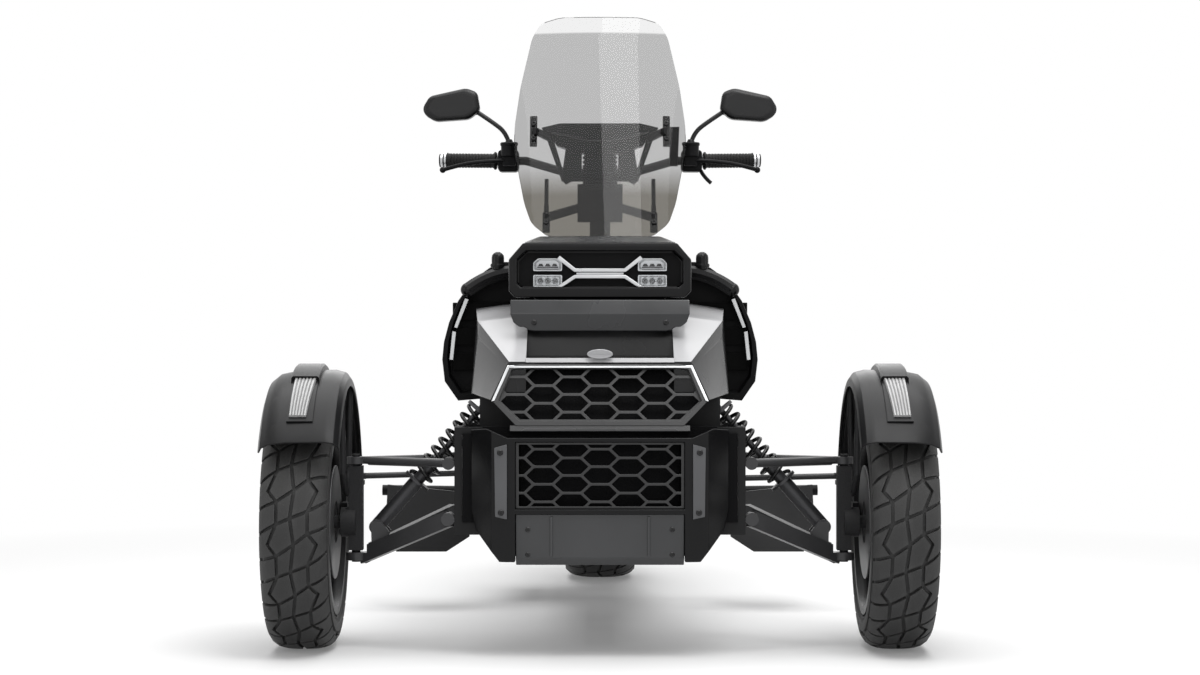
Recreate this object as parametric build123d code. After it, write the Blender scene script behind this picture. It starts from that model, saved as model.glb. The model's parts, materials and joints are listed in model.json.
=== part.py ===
"""Reverse trike: two steered front wheels on double wishbones and one driven rear wheel.

Millimetres. X points to the rider's left, -Y forwards and +Z up, with the ground at Z = 0.
Each node is written as one STEP file in parts/.
"""
import math
import os

from build123d import *

# ---------------------------------------------------------------- driving dimensions
OVERALL_LENGTH = 2352.0
OVERALL_WIDTH = 1509.0
WHEELBASE = 1709.0
FRONT_TYRE_RADIUS = 290.0
FRONT_TYRE_WIDTH = 154.0
REAR_TYRE_RADIUS = 295.5
REAR_TYRE_WIDTH = 210.0
RIM_RADIUS = 203.0
FENDER_LIP = 2.5
HALF_WIDTH = OVERALL_WIDTH / 2
FRONT_AXLE_Y = FRONT_TYRE_RADIUS - OVERALL_LENGTH / 2
REAR_AXLE_Y = FRONT_AXLE_Y + WHEELBASE
FRONT_AXLE_Z = FRONT_TYRE_RADIUS
REAR_AXLE_Z = REAR_TYRE_RADIUS
WHEEL_X = HALF_WIDTH - FENDER_LIP - FRONT_TYRE_WIDTH / 2
REAR_END_Y = OVERALL_LENGTH / 2

RUN_FIT = 0.05          # radial clearance of a shaft that turns in its hole
EYE_FIT = 1.0           # radial clearance at the open end of each tie rod
SKIN = 4.0              # moulded body panels
TUBE = 13.0             # radius of the wishbone tubes

KINGPIN_X = 560.0
STEER_ARM = 100.0       # length of the knuckle arms and of the drop arm
PITMAN_Y = FRONT_AXLE_Y + 26.0
TIE_ROD_Z = 390.0
RAKE = 22.0             # lean of the steering axis, in degrees
BAR_Y = -180.0
BAR_Z = 1130.0
STEM_R = 16.0

BAY_X = 318.0           # mid-plane of the side frames of the front bay
BAY_T = 17.0
BAY_FRONT = -1030.0
BAY_REAR = -712.0
RAIL_X = 135.0
RAIL_W = 36.0
RAIL_Z0 = 215.0
RAIL_Z1 = 265.0

AXLE_LEFT = Axis((0, FRONT_AXLE_Y, FRONT_AXLE_Z), (1, 0, 0))
AXLE_REAR = Axis((0, REAR_AXLE_Y, REAR_AXLE_Z), (1, 0, 0))
STEER_DIR = Vector(0, math.sin(math.radians(RAKE)), math.cos(math.radians(RAKE)))
BAR_POINT = Vector(0, BAR_Y, BAR_Z)


# ---------------------------------------------------------------- helpers
def block(x0, x1, y0, y1, z0, z1):
    """A box between two corners."""
    plane = Plane((min(x0, x1), min(y0, y1), min(z0, z1)))
    return Solid.make_box(abs(x1 - x0), abs(y1 - y0), abs(z1 - z0), plane)


def face_of(points):
    """A flat face through corner points in space."""
    return Face(Wire.make_polygon([Vector(*p) for p in points], close=True))


def front_prism(outline, y0, y1):
    """An outline in X and Z, carried from y0 to y1."""
    return Solid.extrude(face_of([(x, y0, z) for x, z in outline]), Vector(0, y1 - y0, 0))


def side_prism(outline, x0, x1):
    """An outline in Y and Z, carried from x0 to x1."""
    return Solid.extrude(face_of([(x0, y, z) for y, z in outline]), Vector(x1 - x0, 0, 0))


def plan_prism(outline, z0, z1):
    """An outline in X and Y, carried from z0 to z1."""
    return Solid.extrude(face_of([(x, y, z0) for x, y in outline]), Vector(0, 0, z1 - z0))


def rounded(solid, axis, radius):
    """Rounds every edge that runs along one axis."""
    return fillet(solid.edges().filter_by(axis), radius)


def rod(p0, p1, radius):
    """A round bar between two points."""
    start = Vector(*p0)
    run = Vector(*p1) - start
    return Solid.make_cylinder(radius, run.length, Plane(origin=start, z_dir=run.normalized()))


def beam(p0, p1, width, height):
    """A rectangular bar between two points, its height as near to upright as it goes."""
    start = Vector(*p0)
    run = Vector(*p1) - start
    across = Vector(0, 0, 1).cross(run)
    if across.length < run.length / 100:
        across = Vector(1, 0, 0)
    plane = Plane(origin=start, x_dir=across.normalized(), z_dir=run.normalized())
    face = plane * Rectangle(width, height)
    return Solid.extrude(face.face(), run)


def both(outline):
    """A left-hand half outline closed by its mirror image."""
    return list(outline) + [(-x, z) for x, z in reversed(outline)]


def pair(solid):
    """A piece and its mirror image, as two separate solids."""
    return Compound([*solids_of(solid), *solids_of(mirror(solid, about=Plane.YZ))])


def flip(solid):
    """The mirror image on the rider's right."""
    return mirror(solid, about=Plane.YZ)


def solids_of(shape):
    """The solids of a shape of any kind."""
    return list(shape.solids())


def spun(outline, axis_y, axis_z, arc=360.0, start=0.0):
    """An outline of (x, radius) turned about a wheel's axle; start is measured from the top, forwards."""
    lean = math.radians(start)
    points = [(x, axis_y - r * math.sin(lean), axis_z + r * math.cos(lean)) for x, r in outline]
    axis = Axis((0, axis_y, axis_z), (1, 0, 0))
    return revolve(face_of(points), axis=axis, revolution_arc=arc)


def polar(axis_y, axis_z, radius, degrees):
    """A point in Y and Z at an angle forwards from the top of a wheel."""
    lean = math.radians(degrees)
    return axis_y - radius * math.sin(lean), axis_z + radius * math.cos(lean)


# ---------------------------------------------------------------- wheels
def tyre(centre_x, width, radius):
    """A road tyre from its seat on the rim to the crown."""
    half = width / 2
    bead = half - 11.0
    profile = [
        (bead, RIM_RADIUS),
        (bead, RIM_RADIUS + 11.0),
        (half, RIM_RADIUS + 0.42 * (radius - RIM_RADIUS)),
        (half - 1.0, RIM_RADIUS + 0.66 * (radius - RIM_RADIUS)),
        (half - 10.0, radius - 9.0),
        (half - 30.0, radius - 1.5),
        (0.0, radius),
    ]
    outline = [(centre_x + x, r) for x, r in profile]
    outline += [(centre_x - x, r) for x, r in reversed(profile[:-1])]
    return outline


def rim(centre_x, width, side, hub_r, hub_out, hub_in, bore_r, spoke_x):
    """Cast wheel: barrel with flanges, five pairs of spokes and a bored hub, in the XR plane."""
    half = width / 2 - 11.0
    flange = 9.0
    wall = 8.0
    drop = 16.0
    lip = half - 4.0
    barrel_profile = [
        (-half - 7.0, RIM_RADIUS - wall),
        (-half - 7.0, RIM_RADIUS + flange),
        (-half, RIM_RADIUS + flange),
        (-half, RIM_RADIUS),
        (half, RIM_RADIUS),
        (half, RIM_RADIUS + flange),
        (half + 7.0, RIM_RADIUS + flange),
        (half + 7.0, RIM_RADIUS - wall),
        (lip - 12.0, RIM_RADIUS - drop),
        (-lip + 12.0, RIM_RADIUS - drop),
    ]
    return [(centre_x + side * x, r) for x, r in barrel_profile]


SPOKE_PAIRS = 5
SPOKE_SPLAY = 13.0
SPOKE_W = 20.0
SPOKE_T = 18.0


def cast_wheel(centre_x, width, axis_y, axis_z, side, hub_r, hub_x0, hub_x1, bore_r, spoke_x):
    """One wheel without its tyre."""
    barrel = spun(rim(centre_x, width, side, hub_r, hub_x0, hub_x1, bore_r, spoke_x), axis_y, axis_z)
    hub = rod((hub_x0, axis_y, axis_z), (hub_x1, axis_y, axis_z), hub_r)
    wheel = barrel + hub
    inner_r = hub_r - 8.0
    outer_r = RIM_RADIUS - 12.0
    for number in range(SPOKE_PAIRS):
        turn = 360.0 / SPOKE_PAIRS * number
        for splay in (-SPOKE_SPLAY, SPOKE_SPLAY):
            y0, z0 = polar(axis_y, axis_z, inner_r, turn + splay * 0.9)
            y1, z1 = polar(axis_y, axis_z, outer_r, turn + splay)
            spoke = spoke_bar((spoke_x, y0, z0), (spoke_x, y1, z1))
            wheel = wheel + spoke
    bore = rod((min(hub_x0, hub_x1) - 1, axis_y, axis_z), (max(hub_x0, hub_x1) + 1, axis_y, axis_z), bore_r)
    return wheel - bore


def spoke_bar(p0, p1):
    """A flat spoke lying in the plane of the wheel."""
    start = Vector(*p0)
    run = Vector(*p1) - start
    plane = Plane(origin=start, x_dir=Vector(1, 0, 0), z_dir=run.normalized())
    face = plane * Rectangle(SPOKE_T, SPOKE_W)
    return Solid.extrude(face.face(), run)


DISC_R = 130.0
DISC_HOLE = 48.0
DISC_T = 5.0
HUB_R = 46.0
SPINDLE_R = 15.0
SPINDLE_END = WHEEL_X + 24.0
FRONT_DISC_X = WHEEL_X - 69.0


def front_rim():
    """Left front wheel with its hub."""
    spokes_at = WHEEL_X + 32.0
    hub_in = FRONT_DISC_X + DISC_T
    hub_out = spokes_at + 10.0
    bore_r = SPINDLE_R + RUN_FIT
    return cast_wheel(WHEEL_X, FRONT_TYRE_WIDTH, FRONT_AXLE_Y, FRONT_AXLE_Z, 1,
                      HUB_R, hub_in, hub_out, bore_r, spokes_at)


def disc(x, axis_y, axis_z, hole):
    """A brake disc whose inner face lies at x."""
    plate = rod((x, axis_y, axis_z), (x + DISC_T, axis_y, axis_z), DISC_R)
    return plate - rod((x - 1, axis_y, axis_z), (x + DISC_T + 1, axis_y, axis_z), hole)


REAR_SPINDLE_R = 20.0
REAR_HUB_R = 52.0
REAR_SPOKE_X = -52.0
REAR_HUB_X0 = -64.0
REAR_HUB_X1 = 62.0
REAR_DISC_X = REAR_HUB_X1


def rear_rim():
    """Rear wheel with its hub; the right-hand side is open."""
    return cast_wheel(0.0, REAR_TYRE_WIDTH, REAR_AXLE_Y, REAR_AXLE_Z, -1, REAR_HUB_R,
                      REAR_HUB_X0, REAR_HUB_X1, REAR_SPINDLE_R + RUN_FIT, REAR_SPOKE_X)


# ---------------------------------------------------------------- front suspension
UPPER_ARM_Z = 431.0
LOWER_IN_Z = 306.0
LOWER_OUT_Z = 212.0
UPPER_EYE = (22.0, 424.0, 440.0)
LOWER_EYE = (24.0, 203.0, 221.0)
UPPER_PIN_R = 9.0
LOWER_PIN_R = 10.0
ARM_SPREAD = 120.0
ARM_ROOT_X = BAY_X + BAY_T / 2
SHOCK_LOW = (534.0, 280.0)
SHOCK_TOP = (262.0, 564.0)
SHOCK_PIN = 38.0
TOWER_T = 8.0
TOWER_TOP = 578.0
GAP = 5.0


def eye_ring(x, y, radius, z0, z1, hole):
    """A ring about an upright pin."""
    return rod((x, y, z0), (x, y, z1), radius) - rod((x, y, z0 - 1), (x, y, z1 + 1), hole)


def upper_arm():
    """Upper wishbone: two tubes from the frame to the eye at the kingpin."""
    outer = (KINGPIN_X - 14.0, FRONT_AXLE_Y, UPPER_ARM_Z)
    radius, z0, z1 = UPPER_EYE
    shape = rod((KINGPIN_X, FRONT_AXLE_Y, z0), (KINGPIN_X, FRONT_AXLE_Y, z1), radius)
    tube = 10.0
    for side in (-1, 1):
        inner = (ARM_ROOT_X + 12, FRONT_AXLE_Y + side * ARM_SPREAD, UPPER_ARM_Z)
        shape = shape + rod(inner, outer, tube)
        root_y = FRONT_AXLE_Y + side * ARM_SPREAD
        shape = shape + rod((ARM_ROOT_X + 14, root_y - 20, UPPER_ARM_Z), (ARM_ROOT_X + 14, root_y + 20, UPPER_ARM_Z), 14)
    hole = UPPER_PIN_R + RUN_FIT
    shape = shape - rod((KINGPIN_X, FRONT_AXLE_Y, z0 - 10), (KINGPIN_X, FRONT_AXLE_Y, z1 + 10), hole)
    clear = rod((KINGPIN_X, FRONT_AXLE_Y, z0 - 20), (KINGPIN_X, FRONT_AXLE_Y, z0), radius + 10)
    return shape - clear


def lower_arm():
    """Lower wishbone: two deep beams and the bracket that carries the damper."""
    radius, z0, z1 = LOWER_EYE
    shape = rod((KINGPIN_X, FRONT_AXLE_Y, z0), (KINGPIN_X, FRONT_AXLE_Y, z1), radius)
    outer = (KINGPIN_X - 12.0, FRONT_AXLE_Y, LOWER_OUT_Z)
    for side in (-1, 1):
        root_y = FRONT_AXLE_Y + side * ARM_SPREAD
        inner = (ARM_ROOT_X + 14, root_y, LOWER_IN_Z)
        shape = shape + beam(inner, outer, 24.0, 36.0)
        shape = shape + rod((ARM_ROOT_X + 15, root_y - 24, LOWER_IN_Z), (ARM_ROOT_X + 15, root_y + 24, LOWER_IN_Z), 15)
    lug_x, lug_z = SHOCK_LOW
    for side in (-1, 1):
        lug_y = FRONT_AXLE_Y + side * 23.0
        lug = side_lug(lug_x, lug_y, lug_z)
        shape = shape + lug
    hole = LOWER_PIN_R + RUN_FIT
    shape = shape - rod((KINGPIN_X, FRONT_AXLE_Y, z0 - 20), (KINGPIN_X, FRONT_AXLE_Y, z1 + 20), hole)
    clear = rod((KINGPIN_X, FRONT_AXLE_Y, z1), (KINGPIN_X, FRONT_AXLE_Y, z1 + 30), radius + 10)
    return shape - clear


def side_lug(x, y, z):
    """One ear of the damper bracket on the lower wishbone."""
    outline = [(x - 40, z - 44), (x - 12, z - 60), (x - 10, z + 12), (x - 34, z + 12), (x - 52, z - 10)]
    return front_prism(outline, y - 4, y + 4)


SPRING_R = 29.0
WIRE_R = 4.5
COILS = 8


def damper():
    """Damper body, rod, eyes and spring seats of one front strut."""
    low_x, low_z = SHOCK_LOW
    top_x, top_z = SHOCK_TOP
    low = Vector(low_x - 22, FRONT_AXLE_Y, low_z)
    top = Vector(top_x, FRONT_AXLE_Y, top_z)
    run = top - low
    along = run.normalized()
    body_end = low + run * 0.36
    seat_a = low + run * 0.36
    seat_b = low + run * 0.93
    shape = rod(tuple(low), tuple(body_end), 17.0)
    shape = shape + rod(tuple(body_end), tuple(low + run * 0.55), 14.0)
    shape = shape + rod(tuple(low + run * 0.5), tuple(top), 7.0)
    shape = shape + rod(tuple(seat_a), tuple(seat_a + along * 6), SPRING_R + 4)
    shape = shape + rod(tuple(seat_b), tuple(seat_b + along * 7), SPRING_R + 3)
    shape = shape + rod((low.X, low.Y - 19, low.Z), (low.X, low.Y + 19, low.Z), 17.0)
    shape = shape + rod((top.X, top.Y - 16, top.Z), (top.X, top.Y + 16, top.Z), 13.0)
    shape = shape + rod((top.X, top.Y - SHOCK_PIN, top.Z), (top.X, top.Y + SHOCK_PIN, top.Z), 7.5)
    return shape


def coil_spring():
    """Coil spring between the damper's two seats."""
    low_x, low_z = SHOCK_LOW
    top_x, top_z = SHOCK_TOP
    low = Vector(low_x - 22, FRONT_AXLE_Y, low_z)
    top = Vector(top_x, FRONT_AXLE_Y, top_z)
    run = top - low
    along = run.normalized()
    start = low + run * 0.36 + along * (6 + WIRE_R)
    end = low + run * 0.93 - along * WIRE_R
    height = (end - start).length
    plane = Plane(origin=start, z_dir=along)
    helix = Edge.make_helix(pitch=height / COILS, height=height, radius=SPRING_R - WIRE_R,
                            center=start, normal=along)
    profile = Plane(origin=helix @ 0, z_dir=helix % 0) * Circle(WIRE_R)
    return sweep(profile, path=helix, is_frenet=True)


def knuckle():
    """Left knuckle: upright, kingpin ends, stub axle, steering arm, brake caliper and mudguard stays."""
    y = FRONT_AXLE_Y
    x = KINGPIN_X
    top = UPPER_EYE[1] - GAP
    low = LOWER_EYE[2] + GAP
    shape = block(x - 16, x + 16, y - 18, y + 18, low, top)
    shape = shape + rod((x, y, low - GAP - 22), (x, y, low + 4), LOWER_PIN_R)
    shape = shape + rod((x, y, top - 4), (x, y, top + GAP + 22), UPPER_PIN_R)
    shape = shape + rod((x, y, FRONT_AXLE_Z), (x + 34, y, FRONT_AXLE_Z), 34.0)
    shape = shape + rod((x, y, FRONT_AXLE_Z), (SPINDLE_END, y, FRONT_AXLE_Z), SPINDLE_R)
    arm = block(x - 10, x + 10, y, y + STEER_ARM + 12, TIE_ROD_Z - 20, TIE_ROD_Z - 10)
    stud = rod((x, y + STEER_ARM, TIE_ROD_Z - 12), (x, y + STEER_ARM, TIE_ROD_Z + 12), 6.0)
    shape = shape + arm + stud
    grip_x = FRONT_DISC_X + DISC_T / 2
    caliper = block(grip_x - 20, grip_x + 20, y + 84, y + 134, FRONT_AXLE_Z - 38, FRONT_AXLE_Z + 38)
    slot = block(grip_x - 5.5, grip_x + 5.5, y + 80, y + DISC_R + 3, FRONT_AXLE_Z - 50, FRONT_AXLE_Z + 50)
    caliper = caliper - slot
    bracket = block(x - 6, grip_x - 9, y + 10, y + 96, FRONT_AXLE_Z - 12, FRONT_AXLE_Z + 12)
    shape = shape + caliper + bracket
    for side in (-1, 1):
        foot = (x + 20, y + side * 10, FRONT_AXLE_Z + 66)
        knee = (x + 24, y + side * 70, FRONT_AXLE_Z + 116)
        head = (x + 24, y + side * 96, FRONT_AXLE_Z + 312)
        shape = shape + rod((x + 4, y + side * 10, FRONT_AXLE_Z + 66), foot, 7.0)
        shape = shape + rod(foot, knee, 7.0)
        shape = shape + Solid.make_sphere(7.0, Plane(knee), angle1=-90, angle2=90, angle3=360)
        shape = shape + Solid.make_sphere(7.0, Plane(foot), angle1=-90, angle2=90, angle3=360)
        shape = shape + rod(knee, head, 7.0)
    return shape - fender()


FENDER_INNER = (572.0, 312.0)
FENDER_FRONT = 56.0
FENDER_ARC = 136.0


def fender():
    """Left mudguard, carried by the knuckle and following the tyre."""
    edge = HALF_WIDTH
    outer = [
        (572.0, 312.0),
        (574.0, 330.0),
        (584.0, 344.0),
        (606.0, 350.0),
        (690.0, 348.0),
        (728.0, 340.0),
        (748.0, 324.0),
        (edge, 303.0),
    ]
    inner = [
        (edge - SKIN, 303.0),
        (748.0 - SKIN, 321.0),
        (726.0, 336.0),
        (689.0, 344.0),
        (608.0, 346.0),
        (588.0, 341.0),
        (578.0, 328.0),
        (576.0, 312.0),
    ]
    return spun(outer + inner, FRONT_AXLE_Y, FRONT_AXLE_Z, FENDER_ARC, FENDER_FRONT - FENDER_ARC)


def fender_lamp():
    """Turn signal on the crest of the left mudguard."""
    outline = [(628.0, 349.5), (632.0, 358.0), (644.0, 364.0), (690.0, 362.0), (698.0, 352.0), (698.0, 347.0), (628.0, 348.0)]
    body = spun(outline, FRONT_AXLE_Y, FRONT_AXLE_Z, 44.0, 6.0)
    return body - fender()


# ---------------------------------------------------------------- steering linkage
def pitman():
    """Drop arm that moves both tie rods."""
    pin = PITMAN_Y + STEER_ARM
    shape = block(-14, 14, PITMAN_Y, pin, TIE_ROD_Z - 4, TIE_ROD_Z + 4)
    shape = shape + rod((0, PITMAN_Y, TIE_ROD_Z - 4), (0, PITMAN_Y, TIE_ROD_Z + 4), 20.0)
    shape = shape + rod((0, pin, TIE_ROD_Z - 4), (0, pin, TIE_ROD_Z + 4), 14.0)
    shape = shape + rod((0, PITMAN_Y, TIE_ROD_Z), (0, PITMAN_Y, TIE_ROD_Z + 70), 12.0)
    return shape + rod((0, pin, TIE_ROD_Z - 24), (0, pin, TIE_ROD_Z + 24), 6.0)


def tie_rod(side):
    """Tie rod from the drop arm to a knuckle; side is 1 on the left."""
    inner_z = TIE_ROD_Z - 14.0 * side
    pin = PITMAN_Y + STEER_ARM
    outer_y = FRONT_AXLE_Y + STEER_ARM
    inner = Vector(0, pin, inner_z)
    outer = Vector(side * KINGPIN_X, outer_y, TIE_ROD_Z)
    shape = rod((0, pin, inner_z - 7), (0, pin, inner_z + 7), 14.0)
    shape = shape + rod((outer.X, outer_y, TIE_ROD_Z - 7), (outer.X, outer_y, TIE_ROD_Z + 7), 14.0)
    along = (outer - inner).normalized()
    shape = shape + rod(tuple(inner + along * 10), tuple(outer - along * 10), 7.0)
    shape = shape - rod((0, pin, inner_z - 20), (0, pin, inner_z + 20), 6.0 + RUN_FIT)
    return shape - rod((outer.X, outer_y, TIE_ROD_Z - 20), (outer.X, outer_y, TIE_ROD_Z + 20), 6.0 + EYE_FIT)


# ---------------------------------------------------------------- frame
HEAD_TOP = 250.0
HEAD_LOW = 560.0
REAR_SUB = [(-712.0, 500.0), (-440.0, 560.0), (60.0, 500.0), (560.0, 545.0), (800.0, 640.0)]


def main_frame():
    """Welded frame: front bay, lower rails, upper tubes and the steering head."""
    x0 = BAY_X - BAY_T / 2
    x1 = BAY_X + BAY_T / 2
    shape = None
    for y in (BAY_FRONT, BAY_REAR - 20):
        post = block(x0, x1, y, y + 20, 272, 513)
        shape = post if shape is None else shape + post
    for z0, z1 in ((290, 322), (417, 445), (495, 513)):
        shape = shape + block(x0, x1, BAY_FRONT, BAY_REAR, z0, z1)
    shape = shape - block(x0 - 5, x1 + 5, FRONT_AXLE_Y - SHOCK_PIN, FRONT_AXLE_Y + SHOCK_PIN, 470, 530)
    shape = shape + flip(shape)
    for y in (BAY_FRONT, BAY_REAR - 20):
        for z0, z1 in ((272, 300), (495, 513)):
            shape = shape + block(-x0, x0, y, y + 20, z0, z1)
    for side in (-1, 1):
        y = FRONT_AXLE_Y + side * (SHOCK_PIN + TOWER_T / 2)
        tower = block(-274, 274, y - TOWER_T / 2, y + TOWER_T / 2, 495, TOWER_TOP)
        shape = shape + tower + block(-x0, x0, y - TOWER_T / 2, y + TOWER_T / 2, 495, 503)
    tower = block(-200, 200, FRONT_AXLE_Y - SHOCK_PIN, FRONT_AXLE_Y + SHOCK_PIN, 495, 503)
    shape = shape + tower
    gear = block(-55, 55, PITMAN_Y - 40, PITMAN_Y + 40, TIE_ROD_Z + 14, 495)
    gear = gear - rod((0, PITMAN_Y, TIE_ROD_Z), (0, PITMAN_Y, TIE_ROD_Z + 80), 12.0 + RUN_FIT)
    shape = shape + gear
    half = RAIL_W / 2
    for side in (-1, 1):
        cx = side * RAIL_X
        shape = shape + block(cx - half, cx + half, BAY_FRONT + 10, 560, RAIL_Z0, RAIL_Z1)
        shape = shape + block(cx - half, cx + half, BAY_FRONT, BAY_FRONT + 20, RAIL_Z0, 290)
        shape = shape + block(cx - half, cx + half, BAY_REAR - 20, BAY_REAR, RAIL_Z0, 290)
        shape = shape + block(cx - half, cx + half, 420, 560, RAIL_Z0, 400)
        points = [(side * RAIL_X, y, z) for y, z in REAR_SUB]
        for first, second in zip(points, points[1:]):
            shape = shape + rod(first, second, 16.0)
        for point in points[1:-1]:
            shape = shape + Solid.make_sphere(16.0, Plane(point), angle1=-90, angle2=90, angle3=360)
        shape = shape + rod((cx, 520, 380), (cx, 520, 545), 14.0)
        shape = shape + rod((cx, -400, 250), (cx, -400, 552), 14.0)
    for y, z in REAR_SUB[1:]:
        shape = shape + rod((-RAIL_X, y, z), (RAIL_X, y, z), 12.0)
    for y in (-420, 400, 480):
        shape = shape + block(-RAIL_X, RAIL_X, y, y + 30, RAIL_Z0 + 5, RAIL_Z1 - 5)
    low = BAR_POINT - STEER_DIR * 600.0
    top = BAR_POINT - STEER_DIR * 380.0
    head = rod(tuple(low), tuple(top), 30.0)
    shape = shape + head
    for side in (-1, 1):
        shape = shape + rod((side * RAIL_X, -440, 560), (side * 18, top.Y - 10, top.Z - 40), 12.0)
        shape = shape + rod((side * RAIL_X, -440, 560), (side * 18, low.Y + 5, low.Z + 30), 12.0)
    hole = rod(tuple(low - STEER_DIR * 5), tuple(top + STEER_DIR * 5), STEM_R + RUN_FIT)
    return shape - hole


# ---------------------------------------------------------------- front bodywork
NOSE_Y = -1106.0
GRILLE_X = 188.0
BUMPER_FRONT = [(223, 217), (277, 285), (288, 330), (288, 508), (252, 512), (205, 492)]
BUMPER_PLAN = [(288, -1046), (240, -1098), (200, NOSE_Y)]
BUMPER_BACK = [(190, -1078), (226, -1072), (266, -1036), (288, -1030)]
LOWER_GRILLE_Z = (334.0, 483.0)
SKID_Z = (217.0, 323.0)


def front_bumper():
    """Lower nose: a faceted surround with places for the lower grille and the skid plate."""
    outline = both(BUMPER_FRONT)
    plan = BUMPER_PLAN + [(-x, y) for x, y in reversed(BUMPER_PLAN)]
    plan += [(-x, y) for x, y in reversed(BUMPER_BACK)] + BUMPER_BACK
    shape = front_prism(outline, NOSE_Y - 10, -1000) & plan_prism(plan, 200, 520)
    shape = shape - block(-GRILLE_X, GRILLE_X, NOSE_Y - 20, -1000, *LOWER_GRILLE_Z)
    shape = shape - block(-GRILLE_X, GRILLE_X, NOSE_Y - 20, -1000, 200, SKID_Z[1])
    for side in (-1, 1):
        shape = shape + block(side * 268, side * (BAY_X - BAY_T / 2), -1036, BAY_FRONT + 18, 300, 316)
        shape = shape + block(side * 268, side * (BAY_X - BAY_T / 2), -1036, BAY_FRONT + 18, 470, 486)
    return shape


STRIP_X = (205.0, 234.0)
STRIP_Z = (312.0, 478.0)


def bumper_strips():
    """Two upright trim strips bolted to the nose."""
    strip = front_prism([(206, 312), (232, 318), (234, 470), (206, 478)], NOSE_Y - 3, NOSE_Y + 12)
    return pair(strip - front_bumper())


HEX_HALF_W = 42.0
HEX_HALF_H = 19.5
HEX_BAR = 3.0


def hexagon(cx, cz):
    """An opening of the grille mesh, wider than tall."""
    half_w = HEX_HALF_W - 1.6 * HEX_BAR
    flat = HEX_HALF_W / 2 - 0.4 * HEX_BAR
    half_h = HEX_HALF_H - HEX_BAR
    return [(cx - half_w, cz), (cx - flat, cz + half_h), (cx + flat, cz + half_h),
            (cx + half_w, cz), (cx + flat, cz - half_h), (cx - flat, cz - half_h)]


def mesh_cutters(columns, rows, centre_z, y0, y1):
    """The openings of a grille, alternate columns stepped by half a cell."""
    cutters = []
    for column in range(-columns, columns + 1):
        step = HEX_HALF_H if column % 2 else 0.0
        for row in range(-rows, rows + 1):
            cx = column * 1.5 * HEX_HALF_W
            cz = centre_z + row * 2 * HEX_HALF_H + step
            cutters.append(front_prism(hexagon(cx, cz), y0, y1))
    return cutters


def lower_grille():
    """Mesh panel in the lower nose."""
    z0, z1 = LOWER_GRILLE_Z
    y0 = NOSE_Y + 10
    plate = block(-GRILLE_X, GRILLE_X, y0, y0 + 8, z0, z1)
    field = block(-GRILLE_X + 8, GRILLE_X - 8, y0 - 5, y0 + 20, z0 + 6, z1 - 6)
    cutters = Compound(mesh_cutters(3, 2, (z0 + z1) / 2, y0 - 2, y0 + 12)) & field
    return plate - cutters


UPPER_GRILLE = [(187, 519), (240, 573), (207, 648), (178, 655)]
UPPER_TILT = [(-1086.0, 519.0), (-1026.0, 655.0)]


def tilt_slab(front_gap, back_gap):
    """The sloping layer in which the upper grille lies, between two distances behind its face."""
    (y0, z0), (y1, z1) = UPPER_TILT
    outline = [(y0 + front_gap, z0 - 6), (y1 + front_gap, z1 + 8), (y1 + back_gap, z1 + 8), (y0 + back_gap, z0 - 6)]
    return side_prism(outline, -260, 260)


def upper_grille():
    """Upper mesh panel with its surround and the lip under it."""
    outline = both(UPPER_GRILLE)
    plate = front_prism(outline, -1100, -990) & tilt_slab(6, 14)
    inner = [(178, 532), (224, 574), (196, 640), (172, 643)]
    field = front_prism(both(inner), -1110, -980)
    cutters = Compound(mesh_cutters(3, 2, 587, -1100, -1000)) & field
    shape = plate - cutters
    ring = (front_prism(outline, -1110, -990) - front_prism(both([(180, 529), (227, 574), (198, 643), (172, 646)]), -1120, -980))
    ring = ring & tilt_slab(-4, 18)
    lip = side_prism([(-1092, 507), (-1060, 505), (-1050, 519), (-1086, 519)], -200, 200)
    return shape + ring + lip


def radiator():
    """Radiator core behind the lower grille."""
    return block(-178, 178, -1060, BAY_FRONT, 300, 495)


def skid_plate():
    """Pressed plate from the nose down and under the front bay."""
    outline = [(-1100, 323), (-1094, 226), (-1070, 208), (-900, 207), (-900, 212), (-1068, 213), (-1088, 229), (-1094, 323)]
    plate = side_prism(outline, -GRILLE_X + 1, GRILLE_X - 1)
    for x in (-108, 108):
        plate = plate + side_prism([(-1103, 318), (-1097, 230), (-1094, 230), (-1099, 318)], x - 3, x + 3)
    return plate


BONNET_FRONT = [(166, 660), (204, 660), (210, 650), (246, 574), (166, 574)]
BONNET_REAR = [(166, 768), (284, 752), (284, 715), (298, 584), (166, 584)]
BONNET_Y = (-1024.0, -826.0, -640.0)


def loft_polys(sections):
    """A ruled solid through outlines in X and Z, each at its own y."""
    wires = [Wire.make_polygon([Vector(x, y, z) for x, z in outline], close=True) for y, outline in sections]
    return Solid.make_loft(wires, ruled=True)


def bonnet():
    """Left and right bonnet wings and the sill between them."""
    rear_end = [(166, 800), (296, 782), (298, 730), (306, 610), (166, 610)]
    outer = loft_polys([(BONNET_Y[0], BONNET_FRONT), (BONNET_Y[1], BONNET_REAR), (BONNET_Y[2], rear_end)])
    t = SKIN
    front_in = [(166 + t, 660 - t), (200, 660 - t), (205, 649), (239, 574 - 3), (166 + t, 574 - 3)]
    rear_in = [(166 + t, 768 - t), (280, 752 - t), (280, 714), (293, 584 - 3), (166 + t, 584 - 3)]
    end_in = [(166 + t, 800 - t), (292, 782 - t), (294, 729), (301, 610 - 3), (166 + t, 610 - 3)]
    inner = loft_polys([(BONNET_Y[0] + t, front_in), (BONNET_Y[1], rear_in), (BONNET_Y[2] + 1, end_in)])
    wing = outer - inner - upper_grille()
    sill = side_prism([(-1026, 658), (-1020, 668), (-880, 672), (-872, 740), (-866, 740), (-872, 664), (-1016, 660)], -167, 167)
    sill = sill - upper_grille()
    return wing + flip(wing) + sill


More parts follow.
